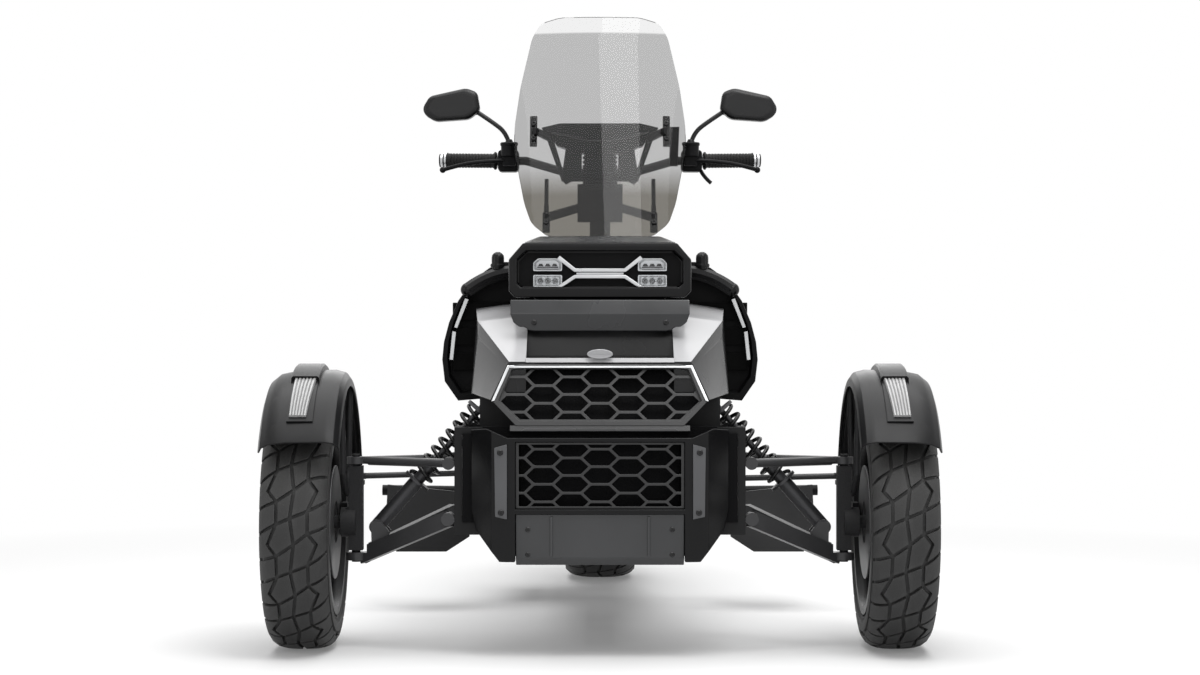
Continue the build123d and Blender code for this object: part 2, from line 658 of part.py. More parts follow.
def badge():
    """Plain oval boss on the sill."""
    plate = rod((0, -1022, 676), (0, -1014, 678), 15.0)
    return plate.scale(1.0)


CHIN = [(150, 728), (163, 731), (172, 738), (184, 738), (197, 748), (204, 767), (204, 800), (150, 800)]


def chin_panel():
    """Panel under the headlight."""
    outline = both(CHIN)
    layer = side_prism([(-938, 720), (-944, 768), (-930, 804), (-924, 804), (-938, 768), (-932, 720)], -220, 220)
    shape = front_prism(outline, -960, -900) & layer
    for side in (-1, 1):
        shape = shape + beam((side * 150, -938, 756), (side * 150, -872, 745), 30, 20)
    return shape


LAMP_FRONT = -912.0
LAMP_BACK = -780.0
HOUSING = [(196, 806), (209, 820), (209, 892), (176, 930)]
CAVITY = [(180, 829), (190, 838), (190, 892), (168, 913)]


def headlight_housing():
    """Wide housing with a deep recess for the lamps."""
    shape = front_prism(both(HOUSING), LAMP_FRONT, LAMP_BACK)
    shape = shape - front_prism(both(CAVITY), LAMP_FRONT - 5, LAMP_FRONT + 46)
    shape = shape + block(-150, 150, LAMP_FRONT + 12, LAMP_BACK, 782, 806)
    return shape


LAMP_X = 120.0


def headlamps():
    """Four lamp blocks in two columns."""
    y0 = LAMP_FRONT + 16
    y1 = LAMP_FRONT + 46
    upper = front_prism([(LAMP_X - 33, 866), (LAMP_X - 33, 884), (LAMP_X - 22, 896), (LAMP_X + 22, 896),
                         (LAMP_X + 33, 884), (LAMP_X + 33, 866)], y0, y1)
    lower = block(LAMP_X - 33, LAMP_X + 33, y0, y1, 831, 858)
    return Compound([upper, lower, *solids_of(flip(upper)), *solids_of(flip(lower))])


def lamp_brace():
    """Bright brace between the lamps, drawn in at the middle."""
    y0 = LAMP_FRONT + 6
    y1 = LAMP_FRONT + 46
    top = [(42, 858), (73, 892), (66, 896), (38, 872)]
    low = [(48, 850), (74, 831), (66, 831), (44, 840)]
    bar = front_prism(both(top), y0, y1) + front_prism(both(low), y0, y1)
    return bar + block(-38, 38, y0 + 14, y1, 846, 862)


COWL_SIDE = [(-906, 931), (-736, 951), (-640, 936), (-560, 884), (-560, 850), (-780, 850), (-780, 931)]
COWL_FRONT = [(209, 840), (209, 892), (176, 931), (140, 952)]


def top_cowl():
    """Cowl over and behind the headlight."""
    shape = side_prism(COWL_SIDE, -230, 230) & front_prism(both(COWL_FRONT), -920, -540)
    shape = shape - block(-190, 190, -770, -530, 830, 872)
    return shape - headlight_housing()


def shoulders():
    """Cowls that run from the top cowl down to the side panels."""
    outline = [(196, 880), (239, 876), (290, 852), (332, 812), (326, 796), (280, 828), (236, 850), (196, 856)]
    wing = front_prism(outline, -660, -560)
    knob = rod((243, -580, 876), (243, -540, 904), 17.0)
    return pair(wing + knob - top_cowl() - side_panels() - side_trim())


SIDE_OUTER = [(338, 562), (376, 626), (376, 690), (361, 746), (332, 812)]
SIDE_INNER = [(318, 812), (345, 742), (358, 688), (358, 634), (324, 572)]
SIDE_VIEW = [(-668, 690), (-640, 812), (-430, 812), (-330, 700), (-360, 600), (-470, 562), (-600, 562), (-655, 610)]


def side_panels():
    """Bowed panels beside the fuel tank cover."""
    panel = front_prism(SIDE_OUTER + SIDE_INNER, -700, -300) & side_prism(SIDE_VIEW, 280, 400)
    brace = block(150, 364, -560, -530, 640, 668) - console()
    return pair(panel + brace - console())


def side_trim():
    """Bright inserts along the leading edge of each side panel."""
    upper = front_prism([(327, 800), (352, 738), (362, 740), (338, 800)], -674, -640) - side_panels()
    lower = front_prism([(354, 728), (366, 650), (376, 650), (364, 730)], -674, -640) - side_panels()
    return pair(Compound([*solids_of(upper), *solids_of(lower)]))


# ---------------------------------------------------------------- console, seat and tail
def console():
    """Cover over the fuel tank, from the headlight back to the seat."""
    sections = [
        (-640, [(180, 600), (196, 700), (180, 840), (120, 872), (-120, 872), (-180, 840), (-196, 700), (-180, 600)]),
        (-420, [(150, 590), (180, 660), (150, 760), (90, 800), (-90, 800), (-150, 760), (-180, 660), (-150, 590)]),
        (-60, [(140, 540), (150, 600), (120, 690), (70, 720), (-70, 720), (-120, 690), (-150, 600), (-140, 540)]),
        (90, [(130, 530), (140, 570), (110, 620), (60, 640), (-60, 640), (-110, 620), (-140, 570), (-130, 530)]),
    ]
    shape = loft_polys(sections)
    inner = [
        (-641, [(172, 590), (188, 700), (172, 834), (117, 864), (-117, 864), (-172, 834), (-188, 700), (-172, 590)]),
        (-420, [(146, 580), (174, 660), (146, 754), (88, 793), (-88, 793), (-146, 754), (-174, 660), (-146, 580)]),
        (-60, [(136, 530), (144, 600), (116, 684), (68, 713), (-68, 713), (-116, 684), (-144, 600), (-136, 530)]),
        (84, [(126, 520), (134, 570), (106, 614), (58, 633), (-58, 633), (-106, 614), (-134, 570), (-126, 520)]),
    ]
    shape = shape - loft_polys(inner)
    low = BAR_POINT - STEER_DIR * 600.0
    hole = rod(tuple(low), tuple(BAR_POINT), 40.0)
    return shape - hole


SEAT_SIDE = [(92, 561), (92, 640), (200, 622), (330, 626), (480, 660), (560, 712), (640, 738), (660, 640), (540, 575)]


def seat():
    """Rider's saddle."""
    shape = side_prism(SEAT_SIDE, -150, 150)
    plan = [(70, 90), (110, 200), (150, 360), (150, 520), (110, 662)]
    outline = plan + [(-x, y) for x, y in reversed(plan)]
    return shape & plan_prism(outline, 500, 800)


def tail_cowl():
    """Tail behind the saddle."""
    sections = [
        (542, [(120, 580), (130, 600), (100, 640), (-100, 640), (-130, 600), (-120, 580)]),
        (664, [(110, 614), (128, 650), (100, 706), (-100, 706), (-128, 650), (-110, 614)]),
        (880, [(80, 656), (96, 684), (70, 722), (-70, 722), (-96, 684), (-80, 656)]),
    ]
    shape = loft_polys(sections)
    return shape - seat() - main_frame()


def tail_lamp():
    """Red lamp across the tail."""
    return front_prism(both([(74, 662), (88, 684), (66, 708)]), 880, 892)


# ---------------------------------------------------------------- power unit and lower parts
def engine_block():
    """Power unit as one plain block."""
    half = RAIL_X + RAIL_W / 2
    return block(-half, half, -330, 330, RAIL_Z1, 470)


def belt_cover():
    """Ribbed cover of the belt drive on the left."""
    face = RAIL_X + RAIL_W / 2
    front = rod((face, -120, 362), (face + 48, -120, 362), 95.0)
    rear = rod((face, 130, 355), (face + 48, 130, 355), 85.0)
    web = side_prism([(-120, 457), (130, 440), (130, 270), (-120, 267)], face, face + 42)
    return front + rear + web


def muffler():
    """Silencer box low on the right."""
    box = block(-290, -165, 120, 480, 170, 300)
    box = rounded(box, Axis.Y, 28.0)
    pipe = rod((-200, 40, 300), (-220, 130, 250), 24.0)
    bracket = block(-170, -RAIL_X - RAIL_W / 2, 280, 320, 225, 255)
    outlet = rod((-230, 470, 230), (-230, 520, 230), 22.0)
    return box + pipe + bracket + outlet


def footboards():
    """Foot deflector, peg and the rail that carries them on each side."""
    plate = front_prism([(341, 190), (400, 153), (530, 153), (561, 215), (561, 321), (341, 300)], -140, 120)
    layer = side_prism([(-96, 145), (20, 330), (32, 330), (-84, 145)], 300, 600)
    plate = plate & layer
    peg = rod((300, 60, 300), (578, 60, 304), 14.0)
    rail = block(RAIL_X + RAIL_W / 2, 330, 44, 76, 232, 252)
    post = block(300, 330, 44, 76, 232, 312)
    arm = block(330, 372, -62, 60, 222, 246)
    return pair(plate + arm + rail + post + peg)


SWING_Y = 490.0
SWING_Z = 330.0


def swingarm():
    """Single-sided arm on the left with the final drive and the rear spindle."""
    face = RAIL_X + RAIL_W / 2
    pivot = rod((face, SWING_Y, SWING_Z), (196, SWING_Y, SWING_Z), 24.0)
    arm = beam((174, SWING_Y - 20, SWING_Z), (150, REAR_AXLE_Y, REAR_AXLE_Z), 36.0, 74.0)
    case = rod((118, REAR_AXLE_Y, REAR_AXLE_Z), (176, REAR_AXLE_Y, REAR_AXLE_Z), 72.0)
    nose = rod((REAR_DISC_X + DISC_T + 24, REAR_AXLE_Y, REAR_AXLE_Z), (120, REAR_AXLE_Y, REAR_AXLE_Z), 44.0)
    spindle = rod((REAR_HUB_X0 + 2, REAR_AXLE_Y, REAR_AXLE_Z), (120, REAR_AXLE_Y, REAR_AXLE_Z), REAR_SPINDLE_R)
    lug = block(158, 194, SWING_Y + 120, SWING_Y + 160, SWING_Z, SWING_Z + 60)
    arm = arm - block(0, face, 300, SWING_Y + 80, 200, 500)
    return pivot + arm + case + nose + spindle + lug


def rear_shock():
    """Rear spring and damper on the left."""
    low = (176, SWING_Y + 140, SWING_Z + 80)
    top = (176, 500, 540)
    shape = rod(low, top, 20.0)
    shape = shape + rod((154, low[1], low[2]), (198, low[1], low[2]), 24.0)
    shape = shape + rod((RAIL_X, top[1], top[2]), (200, top[1], top[2]), 13.0)
    return shape - main_frame() - swingarm()


PLATE_HOLES = 160.0     # spacing of the number plate's two bolts
PLATE_HOLE_R = 3.25
PLATE_HOLE_Z = 500.0


def rear_fender():
    """Mudguard over the rear wheel, with the bracket of the number plate."""
    outline = [(-118, 316), (-112, 330), (112, 330), (118, 316), (114, 316), (109, 326), (-109, 326), (-114, 316)]
    arch = spun(outline, REAR_AXLE_Y, REAR_AXLE_Z, 96.0, -76.0)
    arm = beam((0, 1056, 524), (0, 1172, 460), 60.0, 14.0)
    plate = block(-95, 95, REAR_END_Y - 4, REAR_END_Y, 380, 520)
    for x in (-PLATE_HOLES / 2, PLATE_HOLES / 2):
        plate = plate - rod((x, REAR_END_Y - 10, PLATE_HOLE_Z), (x, REAR_END_Y + 10, PLATE_HOLE_Z), PLATE_HOLE_R)
    stay = block(110, 176, REAR_AXLE_Y - 16, REAR_AXLE_Y + 16, REAR_AXLE_Z + 60, REAR_AXLE_Z + 318)
    return arch + arm + plate + stay - swingarm() - main_frame()


# ---------------------------------------------------------------- handlebar and what it carries
def on_axis(distance, x=0.0, forward=0.0):
    """A point at a distance up the steering axis from the bar clamp, moved sideways and forwards."""
    ahead = Vector(0, -math.cos(math.radians(RAKE)), math.sin(math.radians(RAKE)))
    return tuple(BAR_POINT + STEER_DIR * distance + Vector(x, 0, 0) + ahead * forward)


def steering_stem():
    """Steering shaft with the block that carries the bar."""
    shaft = rod(on_axis(-604), on_axis(-20), STEM_R)
    collar = rod(on_axis(-374), on_axis(-120), 26.0)
    crown = block(-57, 57, -262, -190, 1005, 1099)
    clamp = block(-44, 44, -210, -150, 1095, 1150)
    return shaft + collar + crown + clamp


BAR_R = 11.0
BAR_PATH = [(0, -180, 1130), (90, -180, 1134), (190, -165, 1164), (408, -140, 1167)]


def handlebar():
    """Tapered bar with end weights."""
    shape = None
    for side in (-1, 1):
        points = [(side * x, y, z) for x, y, z in BAR_PATH]
        for first, second in zip(points, points[1:]):
            piece = rod(first, second, BAR_R)
            shape = piece if shape is None else shape + piece
        for point in points[1:-1]:
            shape = shape + Solid.make_sphere(BAR_R, Plane(point), angle1=-90, angle2=90, angle3=360)
        shape = shape + rod((side * 400, -141, 1167), (side * 413, -139.5, 1167), 17.0)
    return shape - steering_stem()


def grips():
    """Rubber hand grips."""
    grip = rod((262, -156.7, 1165), (399, -141, 1166.9), 19.0)
    return pair(grip - handlebar())


def hand_controls():
    """Switch housings, levers and reservoir caps."""
    housing = rod((206, -163, 1164.2), (260, -157, 1165), 27.0)
    lever_root = block(214, 250, -214, -170, 1150, 1176)
    blade = beam((236, -206, 1163), (402, -200, 1156), 14.0, 10.0)
    cap = rod((232, -200, 1176), (232, -200, 1196), 22.0)
    one = housing + lever_root + blade + cap - handlebar() - grips()
    return pair(one)


MIRROR = [(303, 1290), (306, 1278), (330, 1262), (370, 1260), (431, 1272), (459, 1304), (418, 1334), (333, 1347), (320, 1338), (303, 1300)]


def mirrors():
    """Rear-view mirrors on their stems."""
    head = front_prism(MIRROR, -226, -194)
    stem = rod((306, -206, 1284), (226, -196, 1226), 6.0)
    ball = rod((222, -200, 1196), (222, -200, 1236), 9.0)
    return pair(head + stem + ball - hand_controls())


def instrument_cowl():
    """Hooded display ahead of the bar."""
    outline = [(48, 1120), (50, 1178), (104, 1200), (146, 1227), (104, 1247)]
    shape = front_prism(both(outline), -300, -236)
    arm = block(-40, 40, -262, -230, 1098, 1124)
    return shape + arm - steering_stem()


SCREEN_FOOT = -556.0
SCREEN_Z = (958.0, 1522.0)
SCREEN_LEAN = 290.0
SCREEN_SAG = 60.0
SCREEN_HALF = 225.0
SCREEN_T = 4.0
SCREEN_OUTLINE = [(128, 958), (168, 990), (186, 1040), (202, 1120), (214, 1190), (213, 1240), (200, 1340), (172, 1470), (150, 1508), (100, 1522)]


def windscreen():
    """Tall clear screen, bowed in plan and leaning back."""
    z0, z1 = SCREEN_Z
    y = SCREEN_FOOT
    arc_out = ThreePointArc((-SCREEN_HALF, y + SCREEN_SAG, z0), (0, y, z0), (SCREEN_HALF, y + SCREEN_SAG, z0))
    arc_in = ThreePointArc((-SCREEN_HALF, y + SCREEN_SAG + SCREEN_T, z0), (0, y + SCREEN_T, z0),
                           (SCREEN_HALF, y + SCREEN_SAG + SCREEN_T, z0))
    left = Line(arc_out @ 0, arc_in @ 0)
    right = Line(arc_out @ 1, arc_in @ 1)
    face = Face(Wire([arc_out.edge(), right.edge(), arc_in.edge(), left.edge()]))
    sheet = Solid.extrude(face, Vector(0, SCREEN_LEAN, z1 - z0))
    return sheet & front_prism(both(SCREEN_OUTLINE), y - 50, y + SCREEN_LEAN + SCREEN_SAG + 50)


def screen_brackets():
    """Arms that hold the screen to the steering stem."""
    one = beam((54, -240, 1040), (131, -505, 1004), 10.0, 22.0)
    one = one + block(125, 137, -545, -490, 968, 1016)
    two = front_prism([(150, 1190), (176, 1190), (170, 1262), (158, 1262)], -420, -408)
    two = two + beam((120, -280, 1215), (160, -412, 1225), 10.0, 18.0)
    one = one - windscreen() - steering_stem()
    two = two - windscreen() - instrument_cowl()
    return pair(Compound([*solids_of(one), *solids_of(two)]))


# ---------------------------------------------------------------- nodes
def build():
    """Every node by name."""
    left_rim = front_rim()
    left_tyre = spun(tyre(WHEEL_X, FRONT_TYRE_WIDTH, FRONT_TYRE_RADIUS), FRONT_AXLE_Y, FRONT_AXLE_Z)
    left_disc = disc(FRONT_DISC_X, FRONT_AXLE_Y, FRONT_AXLE_Z, DISC_HOLE)
    left_knuckle = knuckle()
    left_fender = fender()
    left_lamp = fender_lamp()
    nodes = {
        "main_frame": main_frame(),
        "front_bumper": front_bumper(),
        "bumper_strips": bumper_strips(),
        "lower_grille": lower_grille(),
        "skid_plate": skid_plate(),
        "upper_grille": upper_grille(),
        "radiator": radiator(),
        "bonnet": bonnet(),
        "chin_panel": chin_panel(),
        "headlight_housing": headlight_housing(),
        "headlamps": headlamps(),
        "lamp_brace": lamp_brace(),
        "top_cowl": top_cowl(),
        "shoulders": shoulders(),
        "side_panels": side_panels(),
        "side_trim": side_trim(),
        "console": console(),
        "seat": seat(),
        "tail_cowl": tail_cowl(),
        "tail_lamp": tail_lamp(),
        "engine_block": engine_block(),
        "belt_cover": belt_cover(),
        "muffler": muffler(),
        "upper_arms": pair(upper_arm()),
        "lower_arms": pair(lower_arm()),
        "front_dampers": pair(damper()),
        "front_springs": pair(coil_spring()),
        "footboards": footboards(),
        "swingarm": swingarm(),
        "rear_shock": rear_shock(),
        "rear_fender": rear_fender(),
        "steering_stem": steering_stem(),
        "handlebar": handlebar(),
        "grips": grips(),
        "hand_controls": hand_controls(),
        "mirrors": mirrors(),
        "instrument_cowl": instrument_cowl(),
        "windscreen": windscreen(),
        "screen_brackets": screen_brackets(),
        "pitman_arm": pitman(),
        "tie_rod_left": tie_rod(1),
        "tie_rod_right": tie_rod(-1),
        "knuckle_left": left_knuckle,
        "knuckle_right": flip(left_knuckle),
        "fender_left": left_fender,
        "fender_right": flip(left_fender),
        "fender_lamp_left": left_lamp,
        "fender_lamp_right": flip(left_lamp),
        "front_tyre_left": left_tyre,
        "front_tyre_right": flip(left_tyre),
        "front_rim_left": left_rim,
        "front_rim_right": flip(left_rim),
        "front_disc_left": left_disc,
        "front_disc_right": flip(left_disc),
        "rear_tyre": spun(tyre(0.0, REAR_TYRE_WIDTH, REAR_TYRE_RADIUS), REAR_AXLE_Y, REAR_AXLE_Z),
        "rear_rim": rear_rim(),
        "rear_disc": disc(REAR_DISC_X, REAR_AXLE_Y, REAR_AXLE_Z, DISC_HOLE),
    }
    return nodes


os.makedirs("parts", exist_ok=True)
for name, shape in build().items():
    export_step(shape, "parts/" + name + ".step")
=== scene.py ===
"""Reverse trike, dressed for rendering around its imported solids."""
import json
import math

import bmesh
import bpy
from bpy.props import FloatProperty, FloatVectorProperty, IntProperty, PointerProperty
from mathutils import Matrix, Vector
from mathutils.bvhtree import BVHTree


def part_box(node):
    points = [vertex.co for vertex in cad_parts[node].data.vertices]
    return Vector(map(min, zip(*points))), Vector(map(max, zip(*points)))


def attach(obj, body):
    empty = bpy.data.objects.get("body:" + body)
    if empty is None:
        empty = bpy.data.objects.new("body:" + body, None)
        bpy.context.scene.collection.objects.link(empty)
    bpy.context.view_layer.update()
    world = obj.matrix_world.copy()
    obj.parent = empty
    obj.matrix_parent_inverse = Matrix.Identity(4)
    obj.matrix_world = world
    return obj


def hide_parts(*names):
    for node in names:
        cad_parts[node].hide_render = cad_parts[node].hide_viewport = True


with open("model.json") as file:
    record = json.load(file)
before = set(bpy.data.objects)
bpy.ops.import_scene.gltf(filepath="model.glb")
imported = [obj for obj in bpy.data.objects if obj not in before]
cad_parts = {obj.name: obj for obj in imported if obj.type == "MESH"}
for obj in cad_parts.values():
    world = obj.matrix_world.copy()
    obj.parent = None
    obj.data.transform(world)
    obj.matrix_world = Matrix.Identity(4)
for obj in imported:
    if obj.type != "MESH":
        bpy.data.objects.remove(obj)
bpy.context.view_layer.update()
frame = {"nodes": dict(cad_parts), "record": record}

bl_info = {
    "name": "Reverse trike dresser",
    "version": (1, 0, 0),
    "blender": (4, 5, 0),
    "location": "3D View > Sidebar > Trike",
    "description": "Finishes, tyres, lamps and soft parts of a reverse trike",
    "category": "Object",
}

MM = 0.001
FORWARDS = (0, -1, 0)


# ------------------------------------------------------------ settings
def colour(name, description, value):
    """A colour that can be changed in the panel."""
    return FloatVectorProperty(name=name, description=description, subtype="COLOR", size=3,
                               min=0.0, max=1.0, default=value)


def length(name, description, value):
    """A size in metres that can be changed in the panel."""
    return FloatProperty(name=name, description=description, default=value, min=0.0,
                         subtype="DISTANCE", unit="LENGTH")


class TrikeColours(bpy.types.PropertyGroup):
    """Colours of the vehicle and the studio."""
    moulding: colour("Moulding", "Grained black mouldings", (0.006, 0.006, 0.0065))
    panel: colour("Panel", "Painted bonnet sides and cowl panels", (0.030, 0.031, 0.033))
    # partly painted highlight: this pale paint goes on the bonnet's up-facing faces, for the two-tone panel and
    # for the overhead light's reflection
    pale: colour("Pale panel", "Upper faces of the bonnet", (0.52, 0.52, 0.53))
    satin: colour("Satin", "Mudguards and caps", (0.0065, 0.0065, 0.007))
    strip: colour("Strip", "Strips and guards", (0.075, 0.076, 0.08))
    mesh: colour("Mesh", "Grille mesh", (0.006, 0.006, 0.0065))
    frame_paint: colour("Frame", "Powder coated frame and wheels", (0.008, 0.008, 0.0085))
    arm_paint: colour("Arms", "Wishbones", (0.045, 0.045, 0.047))
    screen: colour("Screen", "Tint of the screen", (0.46, 0.46, 0.46))
    screen_foot: colour("Screen foot", "Tint near the foot of the screen", (0.17, 0.16, 0.14))
    thread: colour("Thread", "Stitches of the saddle", (0.16, 0.16, 0.16))
    casting: colour("Casting", "Cast parts", (0.018, 0.018, 0.019))
    silver: colour("Silver", "Bright trim", (0.56, 0.57, 0.58))
    steel: colour("Steel", "Brake discs and rods", (0.07, 0.07, 0.072))
    bonnet_side: colour("Bonnet side", "Sides of the bonnet", (0.019, 0.019, 0.020))
    damper: colour("Damper", "Damper bodies", (0.05, 0.05, 0.053))
    guard: colour("Guard", "Guard plate under the nose", (0.045, 0.046, 0.048))
    lens: colour("Pale lens", "Mudguard lamps and the numbers of the dial", (0.36, 0.36, 0.36))
    dish: colour("Dish", "Dishes of the headlights", (0.80, 0.81, 0.82))
    # the lip line on the nose in this colour is a painted highlight
    satin_edge: colour("Satin edge", "Thin lines along lips and hoods", (0.06, 0.06, 0.062))
    shade: colour("Shade", "Vanes deep in the ducts", (0.003, 0.003, 0.003))
    badge: colour("Badge", "Plain boss on the nose", (0.34, 0.34, 0.35))
    display: colour("Display", "Glass of the display", (0.006, 0.007, 0.009))
    mirror: colour("Mirror", "Mirror glass", (0.85, 0.86, 0.87))
    tyre: colour("Tyre", "Tread and side walls", (0.017, 0.017, 0.017))
    saddle: colour("Saddle", "Saddle cover", (0.02, 0.02, 0.02))
    grip: colour("Grip", "Hand grips", (0.014, 0.014, 0.014))
    lamp_red: colour("Red lens", "Tail lamp lens", (0.45, 0.01, 0.01))
    floor: colour("Floor", "Studio floor", (0.8, 0.8, 0.8))


class TrikeSizes(bpy.types.PropertyGroup):
    """Sizes of the pieces made here."""
    groove: length("Groove", "Width of the grooves between tread blocks", 0.0078)
    block: length("Block", "Height of the tread blocks", 0.0085)
    edge: length("Edge", "Rounding of the moulded edges", 0.0018)
    pitches: IntProperty(name="Pitches", description="Rows of tread blocks round a tyre",
                         default=30, min=12, max=80)


def colours():
    """The colour settings of the scene."""
    return bpy.context.scene.trike_colours


def sizes():
    """The size settings of the scene."""
    return bpy.context.scene.trike_sizes


# ------------------------------------------------------------ node groups
class Graph:
    """Adds shader nodes to a tree, one call for each."""

    def __init__(self, tree):
        self.nodes, self.links = tree.nodes, tree.links

    def feed(self, socket, value):
        """Links a socket to another one, or sets its plain value."""
        if isinstance(value, bpy.types.NodeSocket):
            self.links.new(value, socket)
        else:
            socket.default_value = value

    def node(self, kind, inputs=(), **settings):
        """A node with its settings, and links or values for its inputs."""
        made = self.nodes.new("ShaderNode" + kind)
        for label, value in settings.items():
            setattr(made, label, value)
        for label, value in dict(inputs).items():
            self.feed(made.inputs[label], value)
        return made

    def math(self, operation, *values, clamp=False):
        """The result of one sum."""
        return self.node("Math", enumerate(values), operation=operation, use_clamp=clamp).outputs[0]

    def group(self, name, **values):
        """One of the shared groups, with its own values."""
        made = self.node("Group", node_tree=GROUPS[name])
        for label, value in values.items():
            self.feed(made.inputs[label.replace("_", " ")], value)
        return made

    def ramp(self, value, low, high):
        """0 below low and 1 above high, with a straight rise between."""
        return self.node("MapRange", {"From Min": low, "From Max": high, "Value": value}).outputs["Result"]

    def mixed(self, share, first, second):
        """A colour between two others."""
        return self.node("Mix", {"Factor": share, 6: first, 7: second}, data_type="RGBA").outputs[2]

    def place(self):
        """Object coordinates."""
        return self.node("TexCoord").outputs["Object"]

    def axes(self):
        """Object coordinates, one socket for each axis."""
        return self.node("SeparateXYZ", {0: self.place()}).outputs


def rgba(value):
    """A colour with full alpha."""
    return (*value, 1.0)


def new_group(name, inputs, outputs):
    """An empty shader node group with named sockets."""
    group = bpy.data.node_groups.new(name, "ShaderNodeTree")
    for label, kind, value in inputs:
        socket = group.interface.new_socket(label, in_out="INPUT", socket_type=kind)
        socket.default_value = value
    for label, kind in outputs:
        group.interface.new_socket(label, in_out="OUTPUT", socket_type=kind)
    graph = Graph(group)
    enter, leave = group.nodes.new("NodeGroupInput"), group.nodes.new("NodeGroupOutput")
    return group, graph, enter.outputs, leave.inputs


MIDDLE_GREY = (0.5, 0.5, 0.5, 1.0)
POINTED = (0.53, 0.62)              # pointiness at which the painted edge highlight starts, and is full
DUST_COLOUR = (0.45, 0.43, 0.4, 1.0)
DUST_PATCHES = 14.0


def grain_group():
    """Fine moulded grain: a height, and a colour that drifts slightly over the surface."""
    group, graph, enter, leave = new_group(
        "Moulded grain",
        [("Colour", "NodeSocketColor", MIDDLE_GREY), ("Grain size", "NodeSocketFloat", 900.0),
         ("Drift size", "NodeSocketFloat", 6.0), ("Drift", "NodeSocketFloat", 0.15)],
        [("Colour", "NodeSocketColor"), ("Height", "NodeSocketFloat"), ("Mask", "NodeSocketFloat")])
    place = graph.place()
    fine = graph.node("TexNoise", {"Vector": place, "Scale": enter["Grain size"], "Detail": 3.0})
    cells = graph.node("TexVoronoi", {"Vector": place, "Scale": enter["Grain size"]})
    wide = graph.node("TexNoise", {"Vector": place, "Scale": enter["Drift size"], "Detail": 4.0})
    spread = graph.node("MapRange", {"Value": wide.outputs["Fac"], "From Min": 0.3, "From Max": 0.7,
                                     "To Min": -1.0, "To Max": 1.0}).outputs["Result"]
    scaled = graph.math("MULTIPLY_ADD", spread, enter["Drift"], 1.0)
    tint = graph.node("VectorMath", {0: enter["Colour"], "Scale": scaled}, operation="SCALE")
    graph.feed(leave["Colour"], tint.outputs[0])
    graph.feed(leave["Height"], graph.math("MULTIPLY_ADD", cells.outputs["Distance"], 0.6, fine.outputs["Fac"]))
    graph.feed(leave["Mask"], spread)
    return group


def brushed_group():
    """Fine lines along one axis, as left by brushing or turning."""
    group, graph, enter, leave = new_group(
        "Brushed lines", [("Along", "NodeSocketVector", (4.0, 400.0, 400.0))], [("Height", "NodeSocketFloat")])
    stretch = graph.node("VectorMath", {0: graph.place(), 1: enter["Along"]}, operation="MULTIPLY")
    lines = graph.node("TexNoise", {"Vector": stretch.outputs[0], "Scale": 1.0, "Detail": 4.0})
    graph.feed(leave["Height"], lines.outputs["Fac"])
    return group


def edge_highlight_group():
    """Paints a highlight on sharp edges by their pointiness, and dulls what faces up with a trace of dust."""
    group, graph, enter, leave = new_group(
        "Painted edge highlights",
        [("Colour", "NodeSocketColor", MIDDLE_GREY), ("Edge colour", "NodeSocketColor", (0.6, 0.6, 0.6, 1.0)),
         ("Edge", "NodeSocketFloat", 0.3), ("Dust", "NodeSocketFloat", 0.04)],
        [("Colour", "NodeSocketColor"), ("Dust", "NodeSocketFloat")])
    shape = graph.node("NewGeometry").outputs
    # painted highlight: edges are lightened by their pointiness
    edge_glint = graph.math("MULTIPLY", graph.ramp(shape["Pointiness"], *POINTED), enter["Edge"])
    edge_lit = graph.mixed(edge_glint, enter["Colour"], enter["Edge colour"])
    up = graph.node("SeparateXYZ", {0: shape["Normal"]}).outputs["Z"]
    patch = graph.node("TexNoise", {"Vector": graph.place(), "Scale": DUST_PATCHES}).outputs["Fac"]
    settle = graph.math("MULTIPLY", graph.math("MULTIPLY", up, patch, clamp=True), enter["Dust"], clamp=True)
    graph.feed(leave["Colour"], graph.mixed(settle, edge_lit, DUST_COLOUR))
    graph.feed(leave["Dust"], settle)
    return group


GROUPS = {}


# ------------------------------------------------------------ materials
def new_material(name):
    """An empty material, its graph and its main shader."""
    material = bpy.data.materials.new(name)
    material.use_nodes = True
    return material, Graph(material.node_tree), material.node_tree.nodes["Principled BSDF"].inputs


def vary_gloss(graph, shader, mask, low, high):
    """Lets the roughness drift between two values."""
    gloss = graph.node("MapRange", {"From Min": -1.0, "To Min": low, "To Max": high, "Value": mask})
    graph.feed(shader["Roughness"], gloss.outputs["Result"])


def finish(name, base, rough, metallic=0.0, coat=0.0, grain=900.0, depth=0.0002, drift=0.12,
           spread=0.06, edge=0.25, dust=0.03, brushed=None, specular=0.5):
    """A painted, moulded or metal surface with grain, drift in tone, painted highlights on its sharp edges and
    a trace of dust.
    """
    material, graph, shader = new_material(name)
    for label, value in (("Metallic", metallic), ("Coat Weight", coat), ("Coat Roughness", 0.08),
                         ("Specular IOR Level", specular)):
        shader[label].default_value = value
    skin = graph.group("grain", Colour=rgba(base), Grain_size=grain, Drift=drift).outputs
    # painted highlight: a lighter copy of the base colour for the sharp edges
    edge_highlight_tint = [min(1.0, channel * 2.2 + 0.03) for channel in base]
    edge_lit = graph.group("edge", Colour=skin["Colour"], Edge_colour=rgba(edge_highlight_tint), Edge=edge, Dust=dust)
    graph.feed(shader["Base Color"], edge_lit.outputs["Colour"])
    vary_gloss(graph, shader, skin["Mask"], max(0.02, rough - spread), min(1.0, rough + spread))
    height = graph.group("brushed", Along=brushed).outputs["Height"] if brushed else skin["Height"]
    bump = graph.node("Bump", {"Distance": depth, "Height": height})
    graph.feed(shader["Normal"], bump.outputs["Normal"])
    return material


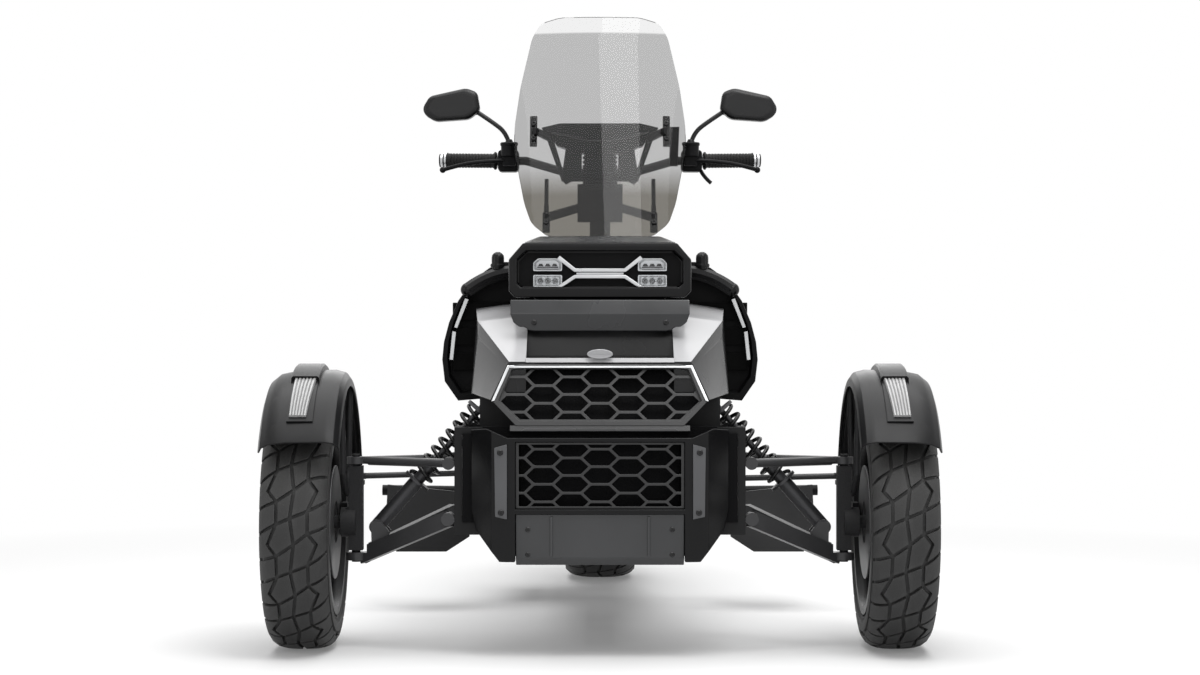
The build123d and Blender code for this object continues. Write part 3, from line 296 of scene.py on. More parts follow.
def clear(name, tint, rough=0.02, bend=1.45):
    """Clear moulded glass or acrylic with faint streaks in its polish."""
    material, graph, shader = new_material(name)
    for label, value in (("Metallic", 0.0), ("Transmission Weight", 1.0), ("IOR", bend), ("Alpha", 1.0)):
        shader[label].default_value = value
    skin = graph.group("grain", Colour=rgba(tint), Grain_size=60.0, Drift=0.02).outputs
    graph.feed(shader["Base Color"], skin["Colour"])
    vary_gloss(graph, shader, skin["Mask"], rough, rough + 0.03)
    return material


FOOT_FADE = (1.06, 1.13)            # heights between which the screen turns from brown to grey
LIP_FADE = (1.478, 1.483)           # and from grey to its pale lip
LIP_TINT = (0.84, 0.84, 0.84)
PALE_HIGHLIGHT_FACING = (0.42, 0.50)             # how far up a face points to get the pale paint, a painted highlight of the overhead light
RECESS_SIDE = (0.1655, 0.1665)      # half width of the bonnet's dark recess
RECESS_END = (-1.013, -1.016)       # and its front end


def tinted_screen():
    """Screen glass: grey, brownish near its foot and clear along its lip."""
    c = colours()
    material = clear("Screen glass", c.screen, rough=0.01, bend=1.25)
    graph = Graph(material.node_tree)
    height = graph.axes()["Z"]
    body = graph.mixed(graph.ramp(height, *FOOT_FADE), rgba(c.screen_foot), rgba(c.screen))
    whole = graph.mixed(graph.ramp(height, *LIP_FADE), body, rgba(LIP_TINT))
    graph.feed(graph.nodes["Principled BSDF"].inputs["Base Color"], whole)
    return material


def two_tone_highlight_panel():
    """Bonnet paint, two-tone with a painted highlight: pale where a face points up outside the recess, standing
    in for the overhead light's reflection, near black where it points up inside the recess, and dark on the
    sides.
    """
    c = colours()
    material = finish("Bonnet paint and highlight", c.bonnet_side, 0.24, grain=700.0, depth=0.00002, specular=0.3, edge=0.03)
    graph = Graph(material.node_tree)
    axes = graph.axes()
    facing = graph.node("SeparateXYZ", {0: graph.node("NewGeometry").outputs["Normal"]})
    # painted highlight: faces that point up outside the recess are painted pale
    up = graph.ramp(facing.outputs["Z"], *PALE_HIGHLIGHT_FACING)
    wing = graph.ramp(graph.math("ABSOLUTE", axes["X"]), *RECESS_SIDE)
    outside = graph.math("MAXIMUM", wing, graph.ramp(axes["Y"], *RECESS_END))
    socket = graph.nodes["Principled BSDF"].inputs["Base Color"]
    dark = graph.mixed(up, socket.links[0].from_socket, rgba(c.moulding))
    graph.feed(socket, graph.mixed(graph.math("MULTIPLY", up, outside), dark, rgba(c.pale)))
    return material


def build_materials():
    """Every finish, named for what it covers."""
    GROUPS.update(grain=grain_group(), brushed=brushed_group(), edge=edge_highlight_group())
    c = colours()
    clean = {"dust": 0.0}
    return {
        "tyre": finish("Tread rubber", c.tyre, 0.62, grain=300.0, depth=0.0004, drift=0.2, edge=0.5, dust=0.08),
        "wheel_black": finish("Wheel paint", c.frame_paint, 0.34, specular=0.15, edge=0.1, **clean),
        "disc_steel": finish("Disc steel", c.steel, 0.4, metallic=0.5, brushed=(400.0, 30.0, 30.0),
                             depth=0.0002),
        "frame_black": finish("Frame powder coat", c.frame_paint, 0.42, grain=500.0, depth=0.00015,
                              specular=0.2, edge=0.12),
        "arm_black": finish("Wishbone coat", c.arm_paint, 0.34, grain=500.0, depth=0.0001, specular=0.35),
        "cast_black": finish("Black casting", c.casting, 0.55, grain=260.0, depth=0.0005, specular=0.25),
        "spring_black": finish("Spring coat", c.frame_paint, 0.22, specular=0.35),
        "damper_grey": finish("Damper body", c.damper, 0.35, metallic=0.6),
        "mould_black": finish("Black moulding", c.moulding, 0.40, grain=1100.0, depth=0.00008,
                              specular=0.10, edge=0.06, **clean),
        "gloss_grey": finish("Painted panel", c.panel, 0.24, grain=700.0, depth=0.00003, specular=0.4,
                             edge=0.08),
        "strip_grey": finish("Strip", c.strip, 0.38, grain=900.0, depth=0.0001),
        "skid_grey": finish("Guard plate", c.guard, 0.4, metallic=0.2, brushed=(300.0, 5.0, 5.0), depth=0.0001),
        "grille_black": finish("Grille mesh", c.mesh, 0.4, depth=0.0001, specular=0.6, edge=0.15, **clean),
        "radiator_black": finish("Radiator core", c.mesh, 0.6, grain=500.0, depth=0.001,
                                 specular=0.05, edge=0.0, **clean),
        "trim_silver": finish("Silver trim", c.silver, 0.28, metallic=0.75, brushed=(6.0, 300.0, 300.0),
                              depth=0.00005),
        "lamp_clear": clear("Lamp lens", (0.95, 0.96, 0.97)),
        "lamp_red": finish("Red lens", c.lamp_red, 0.12, coat=0.8, grain=200.0, depth=0.0003),
        "lamp_white": finish("Pale lens", c.lens, 0.22, coat=0.2, grain=200.0, depth=0.0002),
        "seat_black": finish("Saddle cover", c.saddle, 0.55, grain=420.0, depth=0.0006, drift=0.18),
        "engine_dark": finish("Engine casting", c.casting, 0.6, grain=200.0, depth=0.0006),
        "muffler_black": finish("Silencer coat", c.frame_paint, 0.5, grain=400.0, depth=0.0003),
        "alloy": finish("Alloy", c.steel, 0.35, metallic=1.0),
        "grip_rubber": finish("Grip rubber", c.grip, 0.65, grain=600.0, depth=0.0004, specular=0.2, edge=0.1),
        "screen_clear": clear("Screen", (0.86, 0.87, 0.87)),
        "mirror_shell": finish("Mirror shell", c.moulding, 0.3, depth=0.00005,
                               specular=0.3, edge=0.06, **clean),
        "reflector": finish("Lamp dish", c.dish, 0.16, metallic=0.35, coat=0.4, grain=300.0, depth=0.00002,
                            edge=0.0, **clean),
        "satin_grey": finish("Satin edge", c.satin_edge, 0.3, grain=900.0, depth=0.00003),
        "satin_black": finish("Satin mudguard", c.satin, 0.36, grain=1000.0, depth=0.00006,
                              specular=0.2, edge=0.05, **clean),
        "mould_gloss": finish("Glossy moulding", c.moulding, 0.22, grain=1000.0, depth=0.00003,
                              specular=0.2, edge=0.06, **clean),
        "deep_black": finish("Deep shade moulding", c.shade, 0.5, depth=0.0001,
                             specular=0.05, edge=0.02, **clean),
        "badge_silver": finish("Satin silver", c.badge, 0.4, metallic=0.5, grain=400.0, depth=0.00003),
        "bonnet": two_tone_highlight_panel(),
        "cowl": finish("Cowl paint", c.panel, 0.26, grain=700.0, depth=0.00003, specular=0.45, edge=0.08),
        "screen": tinted_screen(),
        "display_glass": finish("Display glass", c.display, 0.06, coat=0.8, grain=200.0, depth=0.0, edge=0.0),
        "thread": finish("Thread", c.thread, 0.6, grain=1500.0, depth=0.0002),
        "mirror_glass": finish("Mirror glass", c.mirror, 0.03, metallic=1.0, depth=0.0, drift=0.02,
                               spread=0.01),
    }


MATERIALS = {}


def dress(piece, material):
    """Gives a piece its material."""
    piece.data.materials.clear()
    piece.data.materials.append(MATERIALS[material])


def shade_smooth(mesh):
    """Smooth shading on every face."""
    for polygon in mesh.polygons:
        polygon.use_smooth = True


def even_normals(piece):
    """Shades the faces of a piece by their area."""
    piece.modifiers.new("Normals", "WEIGHTED_NORMAL").keep_sharp = True


WELD_DISTANCE = 0.00002
BEVEL_ANGLE = math.radians(28.0)    # edges sharper than this are rounded


def soften(piece, width):
    """Rounds the sharp edges of a solid and shades its faces by their area."""
    piece.modifiers.new("Merge", "WELD").merge_threshold = WELD_DISTANCE
    bevel = piece.modifiers.new("Edges", "BEVEL")
    bevel.width = width
    bevel.segments = 2
    bevel.limit_method = "ANGLE"
    bevel.angle_limit = BEVEL_ANGLE
    bevel.use_clamp_overlap = True
    bevel.harden_normals = False
    even_normals(piece)


def placed(name, data):
    """A new object in the scene."""
    item = bpy.data.objects.new(name, data)
    bpy.context.scene.collection.objects.link(item)
    return item


def make_mesh(name, maker):
    """A mesh from a filled bmesh."""
    mesh = bpy.data.meshes.new(name)
    maker.to_mesh(mesh)
    maker.free()
    return mesh


def final_mesh(piece):
    """A piece's mesh with its modifiers applied."""
    bpy.context.view_layer.update()
    return bpy.data.meshes.new_from_object(piece.evaluated_get(bpy.context.evaluated_depsgraph_get()))


def make_piece(name, maker, material, body):
    """A new piece from a filled bmesh, in place, riding on its body."""
    piece = placed(name, make_mesh(name, maker))
    shade_smooth(piece.data)
    dress(piece, material)
    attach(piece, body)
    return piece


# ------------------------------------------------------------ shapes, in millimetres until they are finished
def both(outline):
    """An outline on the left half, closed by its mirror image."""
    return [*outline, *[(-x, z) for x, z in reversed(outline)]]


def flat(right_side):
    """A mirrored outline that starts on the other side."""
    return [*[(-x, z) for x, z in right_side], *reversed(right_side)]


def round_edges(part, edges, offset, segments):
    """Rounds some edges of a shape."""
    bmesh.ops.bevel(part, geom=edges, offset=offset, offset_type="OFFSET", segments=segments, profile=0.5,
                    affect="EDGES", material=-1, clamp_overlap=True)


def verts_of(items):
    """The vertices among some mesh elements."""
    return [item for item in items if isinstance(item, bmesh.types.BMVert)]


def along_y(edge):
    """How far an edge runs along Y."""
    return abs(edge.verts[0].co.y - edge.verts[1].co.y)


def everything(part):
    """All the elements of a shape."""
    return part.verts[:] + part.edges[:] + part.faces[:]


def prism(outline, y0, y1, corner=0.0, edge=0.0, edge_steps=2):
    """A block with an outline in X and Z, from y0 to y1, its corners rounded first and then its rims."""
    part = bmesh.new()
    base = part.faces.new([part.verts.new((x, y0, z)) for x, z in outline])
    grown = bmesh.ops.extrude_face_region(part, geom=[base], use_keep_orig=True)["geom"]
    bmesh.ops.translate(part, verts=verts_of(grown), vec=(0, y1 - y0, 0))
    if corner:
        round_edges(part, [item for item in part.edges if along_y(item) > 0.01], corner, 4)
    if edge:
        round_edges(part, [item for item in part.edges if along_y(item) < 0.001], edge, edge_steps)
    bmesh.ops.recalc_face_normals(part, faces=part.faces)
    return part


def step_in(part, faces, share, depth):
    """Draws faces in towards their middle and pushes them along Y."""
    grown = bmesh.ops.extrude_face_region(part, geom=faces)["geom"]
    verts = verts_of(grown)
    bmesh.ops.delete(part, geom=[face for face in faces if face.is_valid], context="FACES_ONLY")
    middle = sum((vert.co for vert in verts), Vector()) / len(verts)
    bmesh.ops.scale(part, verts=verts, vec=(share[0], 1.0, share[1]), space=Matrix.Translation(-middle))
    bmesh.ops.translate(part, verts=verts, vec=(0, depth, 0))
    part.normal_update()
    return [item for item in grown if isinstance(item, bmesh.types.BMFace)]


def tilted(part, level, slope):
    """Leans a shape back, by a slope for each millimetre above a level."""
    for vert in part.verts:
        vert.co.y += (vert.co.z - level) * slope
    return part


def loft(sections):
    """A closed shell through outlines in X and Z, each at its own Y."""
    part = bmesh.new()
    rings = []
    for y, outline in sections:
        verts = [part.verts.new((x, y, z)) for x, z in outline]
        rings.append([part.edges.new(ends) for ends in zip(verts, verts[1:] + verts[:1])])
    for near, far in zip(rings, rings[1:]):
        bmesh.ops.bridge_loops(part, edges=near + far)
    for ring in (rings[0], rings[-1]):
        bmesh.ops.contextual_create(part, geom=ring)
    bmesh.ops.recalc_face_normals(part, faces=part.faces)
    return part


def aimed(part, start, end):
    """Turns a shape made along Z at the origin so that it runs from start towards end."""
    start, end = Vector(start), Vector(end)
    turn = (end - start).to_track_quat("Z", "Y").to_matrix().to_4x4()
    bmesh.ops.transform(part, matrix=Matrix.Translation(start) @ turn, verts=part.verts)
    return part


def turned(profile, start, end, steps=32):
    """A solid of revolution: distances along the axis and radii, closed at both ends."""
    part = bmesh.new()
    first, last = profile[0][0], profile[-1][0]
    line = [(first, 0.0), *profile, (last, 0.0)]
    verts = [part.verts.new((radius, 0.0, along)) for along, radius in line]
    edges = [part.edges.new(ends) for ends in zip(verts, verts[1:])]
    bmesh.ops.spin(part, geom=verts + edges, cent=(0, 0, 0), axis=(0, 0, 1), dvec=(0, 0, 0), angle=math.tau,
                   steps=steps, use_merge=True, use_duplicate=False)
    bmesh.ops.remove_doubles(part, verts=part.verts, dist=0.001)
    bmesh.ops.recalc_face_normals(part, faces=part.faces)
    return aimed(part, start, end)


def rod(start, end, radius, edge=0.8):
    """A round bar with its rims rounded."""
    length_mm = (Vector(end) - Vector(start)).length
    return turned([(0.0, radius - edge), (edge * 0.3, radius - edge * 0.3), (edge, radius),
                   (length_mm - edge, radius), (length_mm - edge * 0.3, radius - edge * 0.3),
                   (length_mm, radius - edge)], start, end, 24)


def ball(centre, radius):
    """A rounded end."""
    part = bmesh.new()
    bmesh.ops.create_uvsphere(part, u_segments=20, v_segments=12, radius=radius,
                              matrix=Matrix.Translation(Vector(centre)))
    return part


def beam(start, end, width, height, edge=1.5):
    """A straight bar of rectangular section."""
    length_mm = (Vector(end) - Vector(start)).length
    part = bmesh.new()
    bmesh.ops.create_cube(part, size=1.0)
    bmesh.ops.translate(part, verts=part.verts, vec=(0, 0, 0.5))
    bmesh.ops.scale(part, verts=part.verts, vec=(width, height, length_mm))
    round_edges(part, part.edges[:], edge, 2)
    return aimed(part, start, end)


def from_curve(curve):
    """The filled shape of a curve, which is then taken out."""
    holder = placed(curve.name, curve)
    mesh = final_mesh(holder)
    part = bmesh.new()
    part.from_mesh(mesh)
    bpy.data.objects.remove(holder)
    bpy.data.curves.remove(curve)
    bpy.data.meshes.remove(mesh)
    return part


def bent_bar(points, radius):
    """A round bar that bends smoothly near its points."""
    curve = bpy.data.curves.new("bar", "CURVE")
    curve.dimensions = "3D"
    curve.bevel_depth = radius
    curve.bevel_resolution = 3
    curve.resolution_u = 8
    curve.use_fill_caps = True
    spline = curve.splines.new("NURBS")
    spline.points.add(len(points) - 1)
    for target, point in zip(spline.points, points):
        target.co = (*point, 1.0)
    spline.order_u = 3
    spline.use_endpoint_u = True
    part = from_curve(curve)
    bmesh.ops.remove_doubles(part, verts=part.verts, dist=0.001)
    bmesh.ops.recalc_face_normals(part, faces=part.faces)
    return part


def bolt(place, axis, radius, height):
    """A domed bolt head with a round socket."""
    profile = ((0.0, radius), (height * 0.55, radius), (height, radius * 0.72), (height, radius * 0.42),
               (height * 0.45, radius * 0.38))
    return turned(profile, place, Vector(place) + Vector(axis), 18)


def swept(section, axle, first, last, steps=16):
    """A solid that follows the wheel: sideways places and radii, between two angles forwards of the top."""
    part = bmesh.new()
    ahead, up = math.sin(math.radians(first)), math.cos(math.radians(first))
    base = part.faces.new([part.verts.new((x, axle[0] - r * ahead, axle[1] + r * up)) for x, r in section])
    bmesh.ops.spin(part, geom=[base], cent=(0, *axle), axis=(1, 0, 0), dvec=(0, 0, 0),
                   angle=math.radians(last - first), steps=steps, use_duplicate=False)
    bmesh.ops.recalc_face_normals(part, faces=part.faces)
    return part


def flipped(part):
    """The same shape on the other side of the middle plane."""
    other = part.copy()
    bmesh.ops.scale(other, verts=other.verts, vec=(-1, 1, 1))
    bmesh.ops.reverse_faces(other, faces=other.faces)
    return other


def pair(part):
    """A shape and its mirror image."""
    return [part, flipped(part)]


def solid(name, parts, material, body, sharp=35.0):
    """One piece from several shapes, brought to metres."""
    whole = bmesh.new()
    scratch = bpy.data.meshes.new("scratch")
    for part in parts:
        part.to_mesh(scratch)
        part.free()
        whole.from_mesh(scratch)
    bpy.data.meshes.remove(scratch)
    bmesh.ops.scale(whole, verts=whole.verts, vec=(MM, MM, MM))
    piece = make_piece(name, whole, material, body)
    piece.data.set_sharp_from_angle(angle=math.radians(sharp))
    even_normals(piece)
    return piece


# ------------------------------------------------------------ operators
FINISH_OF = {                       # nodes whose finish is finer than their slot's
    "bonnet": "bonnet",
    "top_cowl": "cowl",
    "chin_panel": "cowl",
    "fender_left": "satin_black",
    "fender_right": "satin_black",
    "headlight_housing": "mould_gloss",
    "front_bumper": "mould_gloss",
    "footboards": "mould_black",
}
EDGES = {                           # roundings that differ from the general one
    "front_bumper": 0.005,
    "headlight_housing": 0.0045,
    "top_cowl": 0.005,
    "chin_panel": 0.003,
    "bonnet": 0.002,
    "console": 0.008,
    "tail_cowl": 0.006,
    "upper_arms": 0.003,
    "lower_arms": 0.003,
    "engine_block": 0.008,
    "swingarm": 0.004,
    "bumper_strips": 0.0012,
}


class TRIKE_OT_finishes(bpy.types.Operator):
    """Gives every solid its finish"""
    bl_idname = "trike.finishes"
    bl_label = "Finishes"

    def execute(self, context):
        MATERIALS.update(build_materials())
        for row in frame["record"]["subparts"]:
            name, slot_name = row["node"], row["material_slot"]
            node = frame["nodes"][name]
            dress(node, FINISH_OF.get(name, slot_name))
            shade_smooth(node.data)
        return {"FINISHED"}


class TRIKE_OT_edges(bpy.types.Operator):
    """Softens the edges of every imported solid"""
    bl_idname = "trike.edges"
    bl_label = "Edges"

    def execute(self, context):
        for row in frame["record"]["subparts"]:
            name = row["node"]
            soften(frame["nodes"][name], EDGES.get(name, sizes().edge))
        return {"FINISHED"}


# ------------------------------------------------------------ tyres
TREAD_POWER = 3.0        # how square the tread's cross section is
SHOULDER_DROP = 0.050    # from the crown down to the widest part
BEAD_SET_IN = 0.011      # bead to the widest part, sideways
RIM_SEAT = 0.203
TYRE_INSET = 0.0002      # the tyre's skin to the solid it stands for
BLOCK_ROOT = 0.0008      # how far the blocks reach into the carcass
BLOCK_RIM = 0.0008       # rounding of the blocks' rims


class TyreForm:
    """Cross section of a tyre, measured along its tread from the centre line."""

    def __init__(self, width, radius):
        self.half = width / 2
        self.radius = radius
        self.points = []
        steps, widest = 64, math.radians(84.0)
        for step in range(steps + 1):
            turn = widest * step / steps
            across = self.half * math.sin(turn) ** (2.0 / TREAD_POWER)
            down = SHOULDER_DROP * (1.0 - math.cos(turn) ** (2.0 / TREAD_POWER))
            self.points.append((across, radius - down))
        self.lengths = [0.0]
        for first, second in zip(self.points, self.points[1:]):
            self.lengths.append(self.lengths[-1] + math.dist(first, second))

    def at(self, along, lift):
        """Sideways place and radius at a distance along the tread, lifted off the surface."""
        side = -1.0 if along < 0.0 else 1.0
        run = min(abs(along), self.lengths[-1])
        index = 1
        while self.lengths[index] < run:
            index += 1
        first, second = self.points[index - 1], self.points[index]
        span = self.lengths[index] - self.lengths[index - 1]
        share = (run - self.lengths[index - 1]) / span
        across = first[0] + (second[0] - first[0]) * share
        out = first[1] + (second[1] - first[1]) * share
        lean = (first[1] - second[1]) / span, (second[0] - first[0]) / span
        return side * (across + lean[0] * lift), out + lean[1] * lift


WALL = ((0.0015, 0.010), (0.0, 0.0), (0.0005, -0.008), (0.0025, -0.009), (0.0045, -0.018), (0.0030, -0.019),
        (0.0045, -0.023))
BEAD = ((BEAD_SET_IN - 0.003, 0.013), (BEAD_SET_IN, 0.010), (BEAD_SET_IN, 0.001))


def carcass(maker, form, groove_depth):
    """The body of the tyre under its tread blocks, spun from its cross section."""
    reach = form.lengths[-1]
    steps = 14
    half_profile = [form.at(reach * step / steps, -groove_depth) for step in range(steps + 1)]
    wall_top = form.radius - SHOULDER_DROP
    half_profile += [(form.half - inwards, wall_top + up) for inwards, up in WALL]
    half_profile += [(form.half - inwards, RIM_SEAT + up) for inwards, up in BEAD]
    right = half_profile[::-1]
    left = [(-x, r) for x, r in half_profile[1:]]
    verts = [maker.verts.new((x, 0.0, -r)) for x, r in right + left]
    edges = [maker.edges.new(pair) for pair in zip(verts, verts[1:] + verts[:1])]
    bmesh.ops.spin(maker, geom=verts + edges, cent=(0, 0, 0), axis=(1, 0, 0), dvec=(0, 0, 0),
                   angle=math.tau, steps=96, use_merge=True, use_duplicate=False)
    bmesh.ops.remove_doubles(maker, verts=maker.verts, dist=0.00001)
    bmesh.ops.recalc_face_normals(maker, faces=maker.faces)


SLANT = 0.30             # rise of the cross grooves for each unit across
INNER = 0.38             # place of the side grooves, as a share of the tread's half width
BULGE = 0.60             # how far out the pointed blocks reach
WEAVE = 0.045            # zigzag of the centre groove
EDGE_REACH = 0.98


def tread_blocks(row, reach, pitch):
    """Outlines of the four blocks between one cross groove and the next, flat."""
    def cross(share, level):
        wander = 0.14 * pitch if level % 2 else -0.04 * pitch
        kink = wander if abs(share) == INNER else 0.0
        return share * reach, level * pitch + share * reach * SLANT * 1.6 + kink * (1 if share > 0 else -1)

    low, high = row, row + 1

    def centre(level):
        weave = WEAVE if level % 2 else -WEAVE
        return weave * reach, level * pitch + weave * reach * SLANT

    blocks = []
    for side in (-1, 1):
        pointed = (row % 2 == 0) == (side > 0)
        bulge = []
        if pointed:
            first, last = cross(side * INNER, low), cross(side * INNER, high)
            bulge = [(side * BULGE * reach, (first[1] + last[1]) / 2 + side * 0.18 * pitch)]
        blocks.append([centre(low), cross(side * INNER, low), *bulge, cross(side * INNER, high), centre(high)])
        blocks.append([cross(side * INNER, low), cross(side * EDGE_REACH, low),
                       cross(side * EDGE_REACH, high), cross(side * INNER, high), *bulge])
    return blocks


def tread(maker, form, pitches):
    """Every block of the tread: two rows are cut, bent round the tyre and repeated."""
    reach = form.lengths[-1] * 0.94
    pitch = math.tau * form.radius / pitches
    faces = []
    for row in (0, 1):
        for outline in tread_blocks(row, reach, pitch):
            faces.append(maker.faces.new([maker.verts.new((u, v, 0.0)) for u, v in outline]))
    maker.normal_update()
    bmesh.ops.inset_individual(maker, faces=faces, thickness=sizes().groove / 2, use_even_offset=True)
    keep = set(faces)
    bmesh.ops.delete(maker, geom=[face for face in maker.faces if face not in keep], context="FACES")
    for line in range(-6, 7):
        bmesh.ops.bisect_plane(maker, geom=everything(maker), dist=0.00001,
                               plane_co=(line * reach / 6.5, 0, 0), plane_no=(1, 0, 0))
    for line in range(-2, 7):
        bmesh.ops.bisect_plane(maker, geom=everything(maker), dist=0.00001,
                               plane_co=(0, line * pitch / 2.5, 0), plane_no=(0, 1, 0))
    tops = verts_of(bmesh.ops.extrude_face_region(maker, geom=maker.faces[:], use_keep_orig=True)["geom"])
    bmesh.ops.translate(maker, verts=tops, vec=(0, 0, sizes().block))
    bmesh.ops.recalc_face_normals(maker, faces=maker.faces)
    top_verts = set(tops)
    rims = [edge for edge in maker.edges if all(v in top_verts for v in edge.verts)
            and any(abs(face.normal.z) < 0.5 for face in edge.link_faces)]
    round_edges(maker, rims, BLOCK_RIM, 1)
    for vert in maker.verts:
        across, radius = form.at(vert.co.x, vert.co.z - sizes().block)
        turn = vert.co.y / form.radius
        vert.co = (across, -radius * math.sin(turn), -radius * math.cos(turn))
    step = math.tau / (pitches // 2)
    bmesh.ops.spin(maker, geom=everything(maker), cent=(0, 0, 0), axis=(1, 0, 0), dvec=(0, 0, 0),
                   angle=step * (pitches // 2 - 1), steps=pitches // 2 - 1, use_duplicate=True)


TYRES = (
    ("Tyre_left", "front_tyre_left", "wheel_left"),
    ("Tyre_right", "front_tyre_right", "wheel_right"),
    ("Tyre_rear", "rear_tyre", "wheel_rear"),
)


class TRIKE_OT_tyres(bpy.types.Operator):
    """Models the three road tyres with their block tread"""
    bl_idname = "trike.tyres"
    bl_label = "Tyres"

    def execute(self, context):
        for name, node, body in TYRES:
            low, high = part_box(node)
            middle = (Vector(low) + Vector(high)) / 2
            form = TyreForm(high[0] - low[0] - 2 * TYRE_INSET, (high[2] - low[2]) / 2 - TYRE_INSET)
            whole, inner = bmesh.new(), bmesh.new()
            tread(whole, form, sizes().pitches)
            carcass(inner, form, sizes().block - BLOCK_ROOT)
            scratch = make_mesh("scratch", inner)
            whole.from_mesh(scratch)
            bpy.data.meshes.remove(scratch)
            bmesh.ops.translate(whole, verts=whole.verts, vec=middle)
            piece = make_piece(name, whole, "tyre", body)
            even_normals(piece)
            piece.data.set_sharp_from_angle(angle=math.radians(40.0))
            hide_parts(node)
        return {"FINISHED"}


# ------------------------------------------------------------ headlight
UPPER_LAMP = ((87, 866), (87, 885), (98, 895), (142, 895), (153, 885), (153, 866))
LOWER_LAMP = ((87, 830), (87, 857), (153, 857), (153, 830))
LAMP_FACE = -895.0
CHIPS = (104.0, 120.0, 136.0)       # middles of the light sources in each upper lamp
CUPS = (103.0, 120.0, 137.0)        # and in each lower lamp
BRACE_TOP = ((56, 872), (92, 901), (98, 894), (59, 864))
BRACE_LOW = ((59, 857), (100, 829), (88, 828), (56, 849))
BRACE_MIDDLE = ((54, 857), (54, 863))
CUP_LEVEL = 843.5
CUP_RING = ((0.0, 7.6), (10.0, 7.6), (11.0, 6.8), (10.4, 6.0), (3.0, 3.0))
CUP_DOT = ((0.0, 2.4), (1.2, 2.2), (1.8, 1.2))
CHIP_BAR = ((96, 873.5), (96, 876), (144, 876), (144, 873.5))


def lamp_bowl(outline):
    """A bright dish with sloping walls."""
    part = prism(outline, LAMP_FACE, LAMP_FACE + 26, corner=3.0, edge=0.0)
    front = [face for face in part.faces if face.normal.y < -0.99]
    front = step_in(part, front, (0.94, 0.88), 0.0)
    step_in(part, front, (0.84, 0.72), 13.0)
    return part


class TRIKE_OT_headlights(bpy.types.Operator):
    """Models the four lamps, their lenses and the bright brace between them"""
    bl_idname = "trike.headlights"
    bl_label = "Headlights"

    def execute(self, context):
        bowls, covers, sources, cups = [], [], [], []
        for outline in (UPPER_LAMP, LOWER_LAMP):
            bowls += pair(lamp_bowl(outline))
            covers += pair(prism(outline, LAMP_FACE - 2.5, LAMP_FACE - 0.3, corner=3.0, edge=0.8))
        for x in CHIPS:
            chip = ((x - 6.5, 877), (x - 3.5, 883), (x + 3.5, 883), (x + 6.5, 877))
            sources += pair(prism(chip, LAMP_FACE + 6, LAMP_FACE + 16, edge=0.6))
        sources += pair(prism(CHIP_BAR, LAMP_FACE + 5, LAMP_FACE + 16, edge=0.6))
        for x in CUPS:
            front = (x, LAMP_FACE, CUP_LEVEL)
            cups += pair(turned(CUP_RING, (x, LAMP_FACE + 14, CUP_LEVEL), front, 24))
            sources += pair(turned(CUP_DOT, (x, LAMP_FACE + 11.4, CUP_LEVEL), front, 14))
        dishes = solid("Lamp_bowls", bowls, "reflector", "chassis", sharp=25.0)
        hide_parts("headlamps")
        solid("Lamp_cups", cups, "trim_silver", "chassis")
        solid("Lamp_sources", sources, "mould_black", "chassis")
        solid("Lamp_covers", covers, "lamp_clear", "chassis")
        bars = [prism(both(BRACE_TOP), -908, -874, edge=1.6), prism(both(BRACE_LOW), -908, -874, edge=1.6),
                prism(flat(BRACE_MIDDLE), -898, -874, edge=1.0)]
        brace = solid("Lamp_brace_bars", bars, "trim_silver", "chassis", sharp=20.0)
        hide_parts("lamp_brace")
        back = prism(both(((186, 832), (186, 888), (168, 908))), -868, -864, edge=0.5)
        solid("Lamp_back_plate", [back], "mould_black", "chassis")
        return {"FINISHED"}


# ------------------------------------------------------------ nose
GRILLE_FOOT = 519                   # height of the upper grille's foot
GRILLE_LEAN = 0.441                 # and its setback for each millimetre of height
RIM_OUTER = ((242, 572), (207, 652))
RIM_INNER = ((235, 574), (203, 646))
STRIP_BOLTS = ((219, 327), (221, 460))
SKID_BOLTS = ((160, 233), (160, 289))
CHIN_BOLTS = ((150, 748),)
BOSS_HALF = (29.0, 11.0)
BOSS_PLACE = (0, -1026, 677)
LIP_HIGHLIGHT_BAND = ((176, 507), (168, 512.5))
LINING_UPPER = ((185, 521), (238, 573), (205, 647), (176, 654))
LINING_GAP = ((262, 484), (262, 516))
LINING_BEHIND = ((200, 226), (200, 330), (190, 336), (190, 482))
LINING_SIDE = ((280, 300), (308, 300), (308, 500), (280, 500))
SKID_LEAN = 6.0 / 97.0              # how far the guard plate stands forward for each millimetre above its foot


